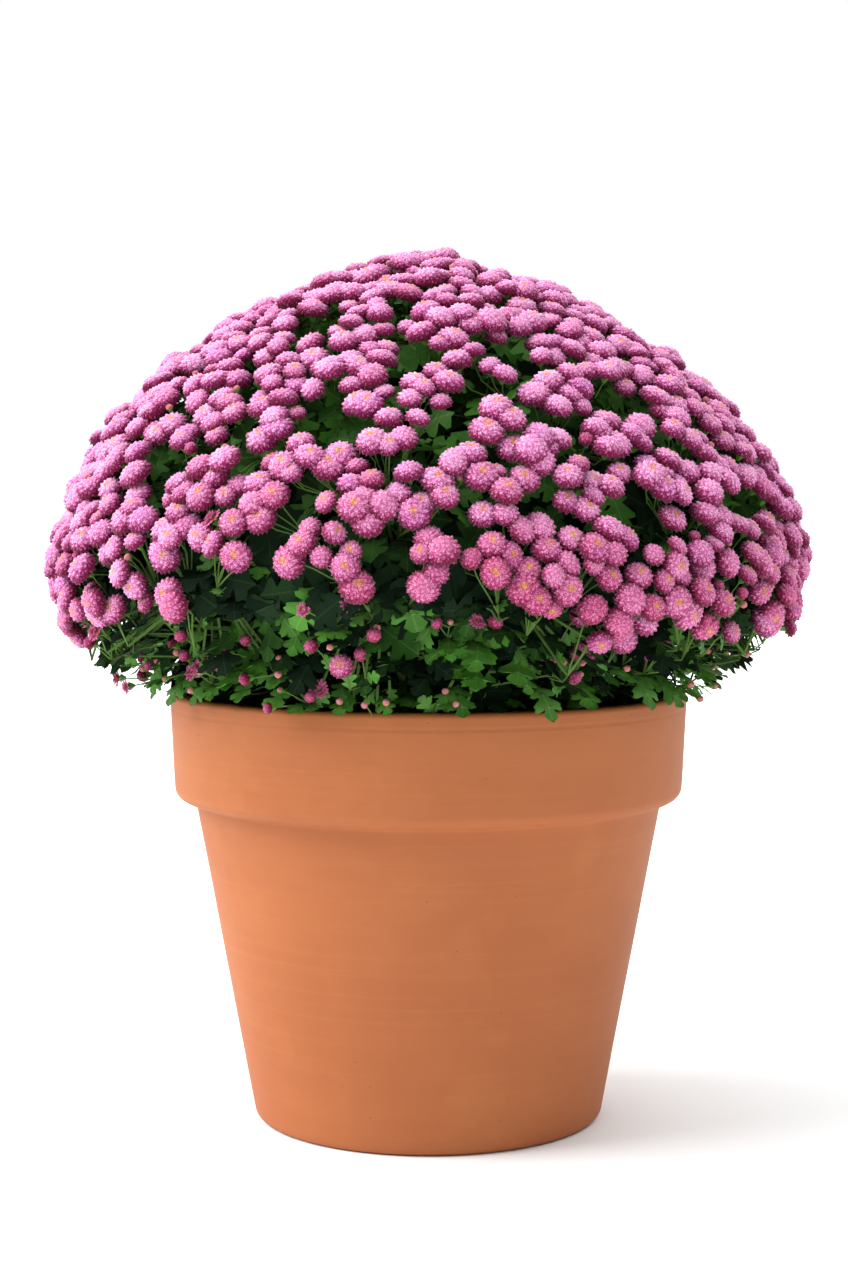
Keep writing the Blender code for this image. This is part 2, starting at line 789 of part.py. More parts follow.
def build_plant(pot, petal, green):
    """The bloom clusters and the leafy stems that carry them; gives the stems' courses."""
    rng = random.Random(SEED)
    sites = grow_sites(rng)
    centres = spray_centres()
    triangles = join_sites(sites)
    near = neighbours_of(triangles, len(sites))
    assign_sprays(sites, centres)
    gaps = open_gaps(sites, near, rng)
    keep_sprays_whole(sites, near)
    stems = lay_out_stems(centres)
    taken = [(None, tree_of(pot.data), None)]
    for spray in range(SPRAY_COUNT):
        cluster = build_cluster(spray, sites, triangles, petal)
        taken.append((None, tree_of(cluster.data), None))
    bodies = [stem_mesh(stem) for stem in stems]
    stalks = []
    for spray, stem in enumerate(stems):
        picked = pick_stalk_sites(spray, sites, centres[spray][0])
        stalks.append([stalk_to(sites[index], stem) for index in picked])
        taken.extend((spray, tree_of(mesh), None) for mesh in [bodies[spray]] + stalks[spray])
    leaves = grow_leaves(sites, gaps, stems, taken, rng)
    for spray in range(SPRAY_COUNT):
        name = f"leafy_stem_{spray + 1:02d}"
        fuse(name, bodies[spray], stalks[spray] + leaves[spray], green)
    return stems


def main():
    """Clear the scene and build the pot, the plant and the soil."""
    for piece in list(bpy.data.objects):
        bpy.data.objects.remove(piece)
    pot = build_pot(make_material("terracotta", TERRACOTTA))
    petal = make_material("petal", PETAL_PINK)
    green = make_material("leaf", LEAF_GREEN)
    stems = build_plant(pot, petal, green)
    build_soil(stems, make_material("soil", SOIL_BROWN))


main()
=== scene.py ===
"""Looks of a pot chrysanthemum: a dome of pink pompon blooms over lobed leaves in a clay pot.

All sizes are in metres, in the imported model's frame: the origin is the centre of the pot's
underside and +Z is up. Bloom sites, sprays and stems follow the same growth rule as the
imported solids, and every bloom and leaf is a copy of a pattern that is modelled once.
"""

from __future__ import annotations

import logging
import random
from dataclasses import dataclass, field
from enum import Enum
from math import ceil, cos, exp, hypot, pi, radians, sin, sqrt
from typing import Callable, Iterable, NamedTuple, Optional, Sequence, Union

import bmesh
import bpy
import numpy as np
from mathutils import Matrix, Vector, noise
from mathutils.kdtree import KDTree

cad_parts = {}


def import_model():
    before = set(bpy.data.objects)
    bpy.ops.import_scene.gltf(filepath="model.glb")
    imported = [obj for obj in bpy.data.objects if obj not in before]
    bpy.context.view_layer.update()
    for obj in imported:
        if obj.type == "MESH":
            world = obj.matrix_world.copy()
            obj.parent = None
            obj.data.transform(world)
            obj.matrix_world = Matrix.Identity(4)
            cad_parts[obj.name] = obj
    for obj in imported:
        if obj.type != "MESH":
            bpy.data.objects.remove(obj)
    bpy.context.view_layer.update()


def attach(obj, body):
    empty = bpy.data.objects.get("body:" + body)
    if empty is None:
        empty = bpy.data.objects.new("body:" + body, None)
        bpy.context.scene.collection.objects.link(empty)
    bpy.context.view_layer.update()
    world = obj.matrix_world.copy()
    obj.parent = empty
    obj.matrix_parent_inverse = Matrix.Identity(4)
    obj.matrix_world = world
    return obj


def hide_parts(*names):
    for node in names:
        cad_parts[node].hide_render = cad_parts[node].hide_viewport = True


LOG = logging.getLogger("pot_chrysanthemum")
BODY = "root"
GOLDEN_ANGLE = pi * (3.0 - sqrt(5.0))
UP = Vector((0.0, 0.0, 1.0))
Colour = tuple[float, float, float]
Span = tuple[float, float]
Piece = bpy.types.Object
Coat = bpy.types.Material


# Shader bench


class Wire:
    """A value inside a material that takes part in Python arithmetic."""

    def __init__(self, bench: Bench, socket: bpy.types.NodeSocket) -> None:
        """Hold an output socket together with the bench that it belongs to."""
        self.bench = bench
        self.socket = socket

    def math(self, operation: str, *others: Operand, flipped: bool = False) -> Wire:
        """Add a Math node that starts from this value.

        Args:
            operation: Name of the Math node's operation.
            others: The other operands, in order.
            flipped: True puts this value second.

        Returns:
            The result of the operation.
        """
        operands = [self, *others]
        if flipped:
            operands.reverse()
        return self.bench.node("Math", {"operation": operation}, dict(enumerate(operands)))

    def __add__(self, other: Operand) -> Wire:
        """This value plus another."""
        return self.math("ADD", other)

    __radd__ = __add__

    def __sub__(self, other: Operand) -> Wire:
        """This value less another."""
        return self.math("SUBTRACT", other)

    def __rsub__(self, other: Operand) -> Wire:
        """Another value less this one."""
        return self.math("SUBTRACT", other, flipped=True)

    def __mul__(self, other: Operand) -> Wire:
        """This value times another."""
        return self.math("MULTIPLY", other)

    __rmul__ = __mul__

    def __abs__(self) -> Wire:
        """This value without its sign."""
        return self.math("ABSOLUTE")

    def most(self, other: Operand) -> Wire:
        """The larger of two values."""
        return self.math("MAXIMUM", other)

    def step(self, low: float, high: float) -> Wire:
        """A soft step from 0 at one level to 1 at another, which may be the lower of the two."""
        sockets = {"Value": self, "From Min": low, "From Max": high}
        return self.bench.node("MapRange", {"interpolation_type": "SMOOTHSTEP"}, sockets)


Operand = Union[Wire, float]
Paint = Union[Wire, Colour]


@dataclass
class Bench:
    """The node tree of one material or world, with its shader at hand."""

    name: str
    owner: Optional[bpy.types.ID] = None
    shader: bpy.types.Node = field(init=False)

    def __post_init__(self) -> None:
        """Make the material, unless a world is given, and find the shader."""
        if self.owner is None:
            self.owner = bpy.data.materials.new(self.name)
            self.owner.use_nodes = True
        kinds = ("BSDF_PRINCIPLED", "BACKGROUND")
        self.shader = next(n for n in self.owner.node_tree.nodes if n.type in kinds)

    def node(
        self,
        kind: str,
        settings: Optional[dict] = None,
        sockets: Optional[dict] = None,
        output: Union[int, str] = 0,
    ) -> Wire:
        """Add a node, set it and wire it.

        Args:
            kind: The node's type without its ShaderNode prefix.
            settings: Properties of the node, set before its sockets.
            sockets: Values or wires for its inputs, by name or index.
            output: Which output to give back.

        Returns:
            The chosen output.
        """
        made = self.owner.node_tree.nodes.new("ShaderNode" + kind)
        for name, value in (settings or {}).items():
            setattr(made, name, value)
        for key, value in (sockets or {}).items():
            self.feed(made.inputs[key], value)
        return Wire(self, made.outputs[output])

    def feed(self, socket: bpy.types.NodeSocket, value: Union[Wire, float, Sequence]) -> None:
        """Give a socket a wire or a plain value.

        Args:
            socket: The input to set.
            value: A wire, a number, or a colour of three numbers.
        """
        if isinstance(value, Wire):
            self.owner.node_tree.links.new(value.socket, socket)
        elif socket.type == "RGBA" and len(value) == 3:
            socket.default_value = (*value, 1.0)
        else:
            socket.default_value = value

    def place(self, scale: Sequence[float] = (1.0, 1.0, 1.0)) -> Wire:
        """Object coordinates, stretched by a scale on each axis."""
        spot = self.node("TexCoord", output="Object")
        return self.node("Mapping", None, {"Vector": spot, "Scale": scale})

    def axes(self, spot: Wire) -> tuple[Wire, Wire, Wire]:
        """The three numbers of a vector."""
        parts = [self.node("SeparateXYZ", None, {"Vector": spot}, axis) for axis in "XYZ"]
        return parts[0], parts[1], parts[2]

    def mark(self, name: str) -> Wire:
        """A named attribute of the mesh."""
        return self.node("Attribute", {"attribute_name": name}, output="Vector")

    def noise(self, spot: Wire, scale: float, detail: float = 3.0, rough: float = 0.5) -> Wire:
        """Cloudy noise from 0 to 1, with its clouds per metre, octaves and roughness."""
        sockets = {"Vector": spot, "Scale": scale, "Detail": detail, "Roughness": rough}
        return self.node("TexNoise", None, sockets)

    def cells(self, spot: Wire, scale: float) -> tuple[Wire, Wire]:
        """Irregular cells, side by side.

        Args:
            spot: Coordinates.
            scale: Cells per metre.

        Returns:
            The distance from a cell's middle, and a number drawn for each cell.
        """
        sockets = {"Vector": spot, "Scale": scale}
        gap = self.node("TexVoronoi", None, sockets, "Distance")
        chance = self.node("TexVoronoi", None, sockets, "Color")
        return gap, self.node("SeparateColor", None, {"Color": chance}, "Red")

    def blend(self, share: Operand, one: Paint, two: Paint, mode: str = "MIX") -> Wire:
        """Mix two colours: a share of 0 gives the first and 1 the second."""
        settings = {"data_type": "RGBA", "blend_type": mode}
        return self.node("Mix", settings, {0: share, 6: one, 7: two}, 2)

    def relief(self, height: Wire, depth: float, strength: float) -> None:
        """Feed a height from 0 to 1 through a Bump node, where 1 is so many metres deep."""
        sockets = {"Strength": strength, "Distance": depth, "Height": height}
        self.feed(self.shader.inputs["Normal"], self.node("Bump", None, sockets))

    def dress(self, **sockets: Union[Wire, float, Sequence]) -> Coat:
        """Set the shader's inputs and give the material.

        Args:
            sockets: Values or wires by the input's name, with _ for a space.

        Returns:
            The material.
        """
        for name, value in sockets.items():
            self.feed(self.shader.inputs[name.replace("_", " ")], value)
        return self.owner


# Finishes


@dataclass(frozen=True)
class Terracotta:
    """Matt fired clay with drifting colour, throwing lines, grain and small pits."""

    body: Colour = (0.412, 0.122, 0.034)
    pale: Colour = (0.58, 0.235, 0.085)
    burnt: Colour = (0.37, 0.103, 0.027)
    # Painted shade: the dark colour inside the small pits.
    pit: Colour = (0.2, 0.07, 0.03)
    line_pitch: float = 260.0
    grain_pitch: float = 1000.0
    pit_pitch: float = 95.0
    groove_level: float = 0.3195
    relief_depth: float = 0.00045

    def material(self) -> Coat:
        """Build the material.

        Returns:
            The finished clay.
        """
        bench = Bench("terracotta_clay")
        spot = bench.place()
        drift = bench.noise(bench.place((1.0, 1.0, 2.2)), 5.0, 4.0, 0.55)
        cloud = bench.noise(spot, 19.0, 5.0, 0.6)
        lines = bench.noise(bench.place((2.0, 2.0, self.line_pitch)), 1.0, 4.0, 0.6)
        broad = bench.noise(bench.place((1.5, 1.5, 0.25 * self.line_pitch)), 1.0, 2.0, 0.5)
        grain = bench.noise(spot, self.grain_pitch, 2.0, 0.7)
        gap, luck = bench.cells(spot, self.pit_pitch)
        # Pits are sunk in the relief and painted darker: painted shade inside each pit.
        pits = gap.step(0.085, 0.045) * luck.step(0.8, 0.84)
        colour = bench.blend(drift.step(0.32, 0.7), self.burnt, self.body)
        colour = bench.blend(cloud.step(0.48, 0.78) * 0.14, colour, self.pale)
        colour = bench.blend(lines.step(0.52, 0.75) * 0.08, colour, self.pale)
        colour = bench.blend(broad.step(0.5, 0.3) * 0.1, colour, self.burnt)
        colour = bench.blend(grain.step(0.58, 0.78) * 0.42, colour, self.burnt)
        colour = bench.blend(pits * 0.75, colour, self.pit)
        level = bench.axes(spot)[2]
        # The groove under the rim is sunk and painted darker: painted shade in the recess.
        groove = abs(level - self.groove_level).step(0.0026, 0.0002) * drift.step(0.3, 0.6)
        colour = bench.blend(groove * 0.15, colour, self.burnt)
        height = lines * 0.2 + broad * 0.25 + grain * 0.4 + cloud * 0.25 - pits - groove * 0.8
        bench.relief(height, self.relief_depth, 0.55)
        rough = 0.62 + cloud * 0.16
        return bench.dress(Base_Color=colour, Roughness=rough, Specular_IOR_Level=0.4)


@dataclass(frozen=True)
class PottingSoil:
    """Dark crumbly compost with fibres and a few pale grains."""

    peat: Colour = (0.022, 0.013, 0.008)
    crumb: Colour = (0.07, 0.042, 0.024)
    grit: Colour = (0.42, 0.38, 0.32)
    clod_pitch: float = 120.0
    fibre_pitch: float = 900.0
    grit_pitch: float = 160.0
    relief_depth: float = 0.002

    def material(self) -> Coat:
        """Build the material.

        Returns:
            The finished compost.
        """
        bench = Bench("potting_soil")
        spot = bench.place()
        clod = bench.noise(spot, self.clod_pitch, 6.0, 0.7)
        fibre = bench.noise(spot, self.fibre_pitch, 3.0, 0.7)
        gap, luck = bench.cells(spot, self.grit_pitch)
        grit = luck.step(0.95, 0.97) * gap.step(0.4, 0.25)
        colour = bench.blend(clod.step(0.35, 0.7), self.peat, self.crumb)
        colour = bench.blend(grit, colour, self.grit)
        bench.relief(clod * 0.7 + fibre * 0.3, self.relief_depth, 0.9)
        return bench.dress(Base_Color=colour, Roughness=0.93, Specular_IOR_Level=0.2)


@dataclass(frozen=True)
class PetalFinish:
    """Pompon petals: deep magenta between, pale pink tips, a yellow eye, crimson when young.

    The deep magenta between the petals and the darker lower side of each bloom are painted
    shade; the crimson also paints shade on low blooms away from the light.
    """

    # Painted shade: deep magenta in the gaps between the petals.
    depth: Colour = (0.27, 0.016, 0.095)
    flesh: Colour = (0.73, 0.2, 0.465)
    # The petals' paler tips, with painted highlight on the raised tips.
    tip: Colour = (0.94, 0.57, 0.82)
    # Painted shade: multiplied over each bloom's lower side.
    under: Colour = (0.48, 0.17, 0.32)
    # The young crimsons also paint shade on low blooms away from the light.
    young_and_shaded_depth: Colour = (0.2, 0.005, 0.038)
    young_and_shaded_flesh: Colour = (0.42, 0.032, 0.13)
    young_and_shaded_tip: Colour = (0.74, 0.15, 0.35)
    eye_depth: Colour = (0.43, 0.1, 0.045)
    eye_tip: Colour = (0.82, 0.43, 0.09)
    bud: Colour = (0.64, 0.23, 0.2)
    mauve: Colour = (0.76, 0.64, 0.96)
    petal_pitch: float = 8.2
    relief_depth: float = 0.0006

    def material(self) -> Coat:
        """Build the material from the marks `petal`, `age` and `spot`, with painted light and
        shade.

        Returns:
            The finished petals.
        """
        bench = Bench("pompon_petals")
        tip, eye, tone = bench.axes(bench.mark("petal"))
        # The last mark, side, paints shade on each bloom's lower side.
        youth, bud, side = bench.axes(bench.mark("age"))
        # Painted light and shade of the petal relief: raised tips and the middles of the finer
        # petals turn paler, the gaps between them darker.
        gap, luck = bench.cells(bench.mark("spot"), self.petal_pitch)
        petal = gap.step(0.56, 0.1)
        rise = tip * 0.55 + petal * 0.45 + (luck - 0.5) * 0.24 + (tone - 0.5) * 0.16
        # Painted shade: the lower side of each bloom is darker.
        rise = rise + 0.12 - side * 0.38
        low = bench.blend(youth, self.depth, self.young_and_shaded_depth)
        middle = bench.blend(youth, self.flesh, self.young_and_shaded_flesh)
        high = bench.blend(youth * 0.85, self.tip, self.young_and_shaded_tip)
        colour = bench.blend(rise.step(0.04, 0.5), low, middle)
        colour = bench.blend(rise.step(0.34, 0.84), colour, high)
        # Painted shade: the lower side of each bloom is multiplied by the under colour.
        colour = bench.blend(side.step(0.15, 1.0) * 0.85, colour, self.under, "MULTIPLY")
        colour = bench.blend(tone.step(0.45, 0.0) * 0.55, colour, self.mauve, "MULTIPLY")
        centre = bench.blend(rise.step(0.1, 0.9), self.eye_depth, self.eye_tip)
        colour = bench.blend(eye, colour, centre)
        colour = bench.blend(bud * 0.8, colour, self.bud)
        bench.relief(petal, self.relief_depth, 0.7)
        return bench.dress(
            Base_Color=colour, Roughness=0.66, Specular_IOR_Level=0.16, Sheen_Weight=0.1
        )


@dataclass(frozen=True)
class FoliageFinish:
    """Leaves with pale ribs and veins, over yellow-green stalks and woody stem feet."""

    blade: Colour = (0.066, 0.245, 0.02)
    # Fresh green of young leaves, also laid on the brightest leaves as painted light.
    fresh: Colour = (0.088, 0.252, 0.034)
    # Painted shade: near-black green of leaves and stalks painted as deep in shade.
    painted_shade_green: Colour = (0.003, 0.013, 0.004)
    underside: Colour = (0.075, 0.17, 0.04)
    rib: Colour = (0.15, 0.29, 0.075)
    stalk: Colour = (0.16, 0.29, 0.055)
    wood: Colour = (0.12, 0.085, 0.03)
    vein_pitch: float = 8.5
    vein_slant: float = 0.62
    cell_pitch: float = 900.0
    relief_depth: float = 0.0005

    def material(self) -> Coat:
        """Build the material from the marks `leaf` (along, across, shade) and `part`.

        Returns:
            The finished greenery.
        """
        bench = Bench("chrysanthemum_foliage")
        along, across, shade = bench.axes(bench.mark("leaf"))
        stalk, wood, under = bench.axes(bench.mark("part"))
        spot = bench.place()
        cloud = bench.noise(spot, 60.0, 4.0, 0.6)
        cells = bench.noise(spot, self.cell_pitch, 2.0, 0.6)
        side = abs(across)
        wave = ((along - side * self.vein_slant) * self.vein_pitch).math("FRACT")
        vein = abs(wave - 0.5).step(0.06, 0.0) * side.step(0.33, 0.05) * 0.6
        rib = side.step(0.03, 0.006)
        veins = rib.most(vein)
        # Painted light and shade: a leaf's shade mark takes it from near-black to full green, and
        # the brightest on to fresh green.
        lit = shade.step(0.14, 0.74)
        colour = bench.blend(lit, self.painted_shade_green, self.blade)
        colour = bench.blend((shade - 0.62).step(0.0, 0.38), colour, self.fresh)
        # Mottled fresh green, shown only as far as the leaf is painted lit.
        colour = bench.blend(cloud.step(0.4, 0.8) * lit * 0.45, colour, self.fresh)
        # Painted shade: each blade darker towards its base.
        colour = bench.blend(along.step(0.45, 0.0) * 0.55, colour, self.painted_shade_green)
        colour = bench.blend(under * lit * 0.6, colour, self.underside)
        colour = bench.blend(veins * (lit * 0.46 + 0.04), colour, self.rib)
        colour = bench.blend(stalk, colour, self.stalk)
        colour = bench.blend(wood, colour, self.wood)
        blade_veins = 1.0 - veins * (1.0 - stalk)
        bench.relief(cells * 0.35 + blade_veins * 0.65, self.relief_depth, 0.6)
        rough = 0.8 + cells * 0.18 - lit * 0.38
        return bench.dress(Base_Color=colour, Roughness=rough, Specular_IOR_Level=0.17)


# Small sums


def clamp(value: float, low: float = 0.0, high: float = 1.0) -> float:
    """A value kept between two limits."""
    return min(max(value, low), high)


def columns(*parts: Union[np.ndarray, float]) -> np.ndarray:
    """Columns side by side, where a plain number fills its whole column."""
    return np.stack(np.broadcast_arrays(*parts), 1)


def compass(ahead: Vector, aside: Vector, angle: float) -> Vector:
    """The direction at an angle in the plane of two others."""
    return ahead * cos(angle) + aside * sin(angle)


def bearings(azimuth: float) -> tuple[Vector, Vector]:
    """Outward and sideways directions at an angle round the plant's axis."""
    around = Vector((cos(azimuth), sin(azimuth), 0.0))
    return around, Vector((-around.y, around.x, 0.0))


def crosswise(direction: Vector) -> tuple[Vector, Vector]:
    """Two directions at right angles to a run and to each other.

    Args:
        direction: The run.

    Returns:
        The two unit directions.
    """
    hint = UP if abs(direction.z) < 0.9 else Vector((1.0, 0.0, 0.0))
    side = direction.cross(hint).normalized()
    return side, side.cross(direction).normalized()


def read_all(items: Sequence, key: str, kind: type = np.float32, width: int = 3) -> np.ndarray:
    """Read one property of every vertex, edge, corner or face.

    Args:
        items: The mesh's collection.
        key: Name of the property.
        kind: Type of its numbers.
        width: How many numbers each item has.

    Returns:
        One row for each item, or a flat array where each has one number.
    """
    values = np.zeros(width * len(items), kind)
    items.foreach_get(key, values)
    return values.reshape(-1, width) if width > 1 else values


# Modelling tools: Blender's operators on one object at a time


def deselect() -> None:
    """Deselect everything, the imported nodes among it."""
    bpy.ops.object.select_all(action="DESELECT")


def hold(piece: Piece) -> None:
    """Select one object alone and make it active.

    Args:
        piece: The object.
    """
    deselect()
    piece.select_set(True)
    bpy.context.view_layer.objects.active = piece


def link(name: str, data: bpy.types.ID) -> Piece:
    """Put a mesh, light or camera into the scene.

    Args:
        name: Name of the new object.
        data: What it shows.

    Returns:
        The object.
    """
    piece = bpy.data.objects.new(name, data)
    bpy.context.scene.collection.objects.link(piece)
    return piece


def open_mesh(kind: str) -> None:
    """Enter edit mode with everything selected.

    Args:
        kind: VERT, EDGE or FACE.
    """
    bpy.ops.object.mode_set(mode="EDIT")
    bpy.ops.mesh.select_mode(type=kind)
    bpy.ops.mesh.select_all(action="SELECT")


def close_mesh(outwards: bool = False) -> None:
    """Leave edit mode, with all faces turned outwards where that is asked.

    Args:
        outwards: True turns them.
    """
    if outwards:
        bpy.ops.mesh.select_all(action="SELECT")
        bpy.ops.mesh.normals_make_consistent(inside=False)
    bpy.ops.object.mode_set(mode="OBJECT")


def select_where(piece: Piece, kind: str, test: Callable[[int], bool]) -> None:
    """Enter edit mode with those edges or faces selected that pass a test.

    Args:
        piece: The object.
        kind: EDGE or FACE.
        test: Says for an index whether it is selected.
    """
    bpy.ops.object.mode_set(mode="EDIT")
    bpy.ops.mesh.select_mode(type=kind)
    bpy.ops.mesh.select_all(action="DESELECT")
    bpy.ops.object.mode_set(mode="OBJECT")
    for item in piece.data.edges if kind == "EDGE" else piece.data.polygons:
        item.select = test(item.index)
    bpy.ops.object.mode_set(mode="EDIT")


def start_disc(sides: int, radius: float, level: float = 0.0, fill: str = "NGON") -> Piece:
    """Start a piece from a level disc or ring and open it with all selected.

    Args:
        sides: Corners of the disc.
        radius: Its radius.
        level: Its height.
        fill: NGON or TRIFAN for a disc, NOTHING for a ring.

    Returns:
        The object, in edit mode.
    """
    deselect()
    place = (0.0, 0.0, level)
    bpy.ops.mesh.primitive_circle_add(
        vertices=sides, radius=radius, fill_type=fill, location=place
    )
    bpy.ops.object.transform_apply(location=True)
    open_mesh("EDGE" if fill == "NOTHING" else "FACE")
    return bpy.context.active_object


def raise_faces(rise: float, spread: float = 1.0) -> None:
    """Extrude the selected faces upwards and widen their far end."""
    bpy.ops.mesh.extrude_region_move(TRANSFORM_OT_translate={"value": (0.0, 0.0, rise)})
    bpy.ops.transform.resize(value=(spread, spread, 1.0))


def start_sheet(across: int, rows: int) -> tuple[Piece, np.ndarray, np.ndarray]:
    """Start a blade from a flat grid.

    Args:
        across: How many faces it has along its length.
        rows: How many faces it has across its width.

    Returns:
        The object, each vertex's column from 0, and its place across from -1 to 1.
    """
    deselect()
    bpy.ops.mesh.primitive_grid_add(x_subdivisions=across, y_subdivisions=rows, size=1.0)
    piece = bpy.context.active_object
    points = places_of(piece)
    column = np.rint((points[:, 0] + 0.5) * across).astype(int)
    return piece, column, points[:, 1] * 2.0


def thicken(piece: Piece, thickness: float, group: str = "") -> None:
    """Give a blade a thickness below its face.

    Args:
        piece: The blade.
        thickness: Its thickness.
        group: Vertex group of the part that is thick, where the margin stays thin.
    """
    thick = piece.modifiers.new("thick", "SOLIDIFY")
    thick.thickness = thickness
    thick.offset = -1.0
    if group:
        thick.vertex_group = group
        thick.thickness_vertex_group = 0.02
    hold(piece)
    bpy.ops.object.modifier_apply(modifier=thick.name)


def smooth(degrees: float) -> None:
    """Shade the active object smoothly, but for edges sharper than an angle."""
    bpy.ops.object.shade_smooth_by_angle(angle=radians(degrees))


def store(piece: Piece, name: str, values: np.ndarray) -> None:
    """Store three numbers for every vertex.

    Args:
        piece: The object.
        name: The attribute's name.
        values: Array of one row for each vertex.
    """
    layers = piece.data.attributes
    layer = layers.get(name) or layers.new(name, "FLOAT_VECTOR", "POINT")
    layer.data.foreach_set("vector", values.astype(np.float32).ravel())


def places_of(piece: Piece) -> np.ndarray:
    """The vertices of an object, one row each."""
    return read_all(piece.data.vertices, "co")


def move_points(piece: Piece, points: np.ndarray) -> None:
    """Put every vertex of an object at a new place."""
    piece.data.vertices.foreach_set("co", points.astype(np.float32).ravel())
    piece.data.update()


# Patterns: what is modelled once and copied


@dataclass
class Pattern:
    """A modelled mesh as plain arrays, ready to be copied many times."""

    points: np.ndarray
    edges: np.ndarray
    corners: np.ndarray
    corner_edges: np.ndarray
    starts: np.ndarray
    sharp: np.ndarray
    marks: dict[str, np.ndarray]

    @classmethod
    def take(cls, piece: Piece, *names: str) -> Pattern:
        """Read a modelled object into arrays and remove the object.

        Args:
            piece: The modelled object.
            names: Its vector attributes to keep.

        Returns:
            The pattern.
        """
        mesh = piece.data
        pattern = cls(
            points=read_all(mesh.vertices, "co"),
            edges=read_all(mesh.edges, "vertices", np.int32, 2),
            corners=read_all(mesh.loops, "vertex_index", np.int32, 1),
            corner_edges=read_all(mesh.loops, "edge_index", np.int32, 1),
            starts=read_all(mesh.polygons, "loop_start", np.int32, 1),
            sharp=read_all(mesh.edges, "use_edge_sharp", bool, 1),
            marks={name: read_all(mesh.attributes[name].data, "vector") for name in names},
        )
        bpy.data.objects.remove(piece)
        bpy.data.meshes.remove(mesh)
        return pattern


@dataclass
class Growth:
    """Copies of patterns that together become one mesh."""

    names: tuple[str, ...]
    copies: list[dict[str, np.ndarray]] = field(default_factory=list)
    points: int = 0
    edges: int = 0
    corners: int = 0

    def add(self, pattern: Pattern, points: np.ndarray, **marks: np.ndarray) -> None:
        """Add one copy.

        Args:
            pattern: What is copied.
            points: The copy's points.
            marks: Attributes that differ from the pattern's own.
        """
        copy = {name: marks.get(name, pattern.marks[name]) for name in self.names}
        copy["points"] = points
        copy["edges"] = pattern.edges + self.points
        copy["corners"] = pattern.corners + self.points
        copy["corner_edges"] = pattern.corner_edges + self.edges
        copy["starts"] = pattern.starts + self.corners
        copy["sharp"] = pattern.sharp
        self.copies.append(copy)
        self.points += len(points)
        self.edges += len(pattern.edges)
        self.corners += len(pattern.corners)

    def build(self, name: str, material: Coat) -> Piece:
        """Join the copies into one object.

        Args:
            name: The piece's name.
            material: Its finish.

        Returns:
            The finished object, linked to the scene.
        """
        keys = self.copies[0]
        whole = {key: np.concatenate([copy[key] for copy in self.copies]) for key in keys}
        mesh = bpy.data.meshes.new(name)
        mesh.vertices.add(self.points)
        mesh.edges.add(self.edges)
        mesh.loops.add(self.corners)
        mesh.polygons.add(len(whole["starts"]))
        fills = (
            (mesh.vertices, "co", "points", np.float32),
            (mesh.edges, "vertices", "edges", np.int32),
            (mesh.loops, "vertex_index", "corners", np.int32),
            (mesh.loops, "edge_index", "corner_edges", np.int32),
            (mesh.polygons, "loop_start", "starts", np.int32),
        )
        for items, key, source, kind in fills:
            items.foreach_set(key, whole[source].astype(kind).ravel())
        mesh.shade_smooth()
        mesh.edges.foreach_set("use_edge_sharp", whole["sharp"])
        piece = link(name, mesh)
        for key in self.names:
            store(piece, key, whole[key])
        mesh.update(calc_edges_loose=True)
        mesh.materials.append(material)
        return piece


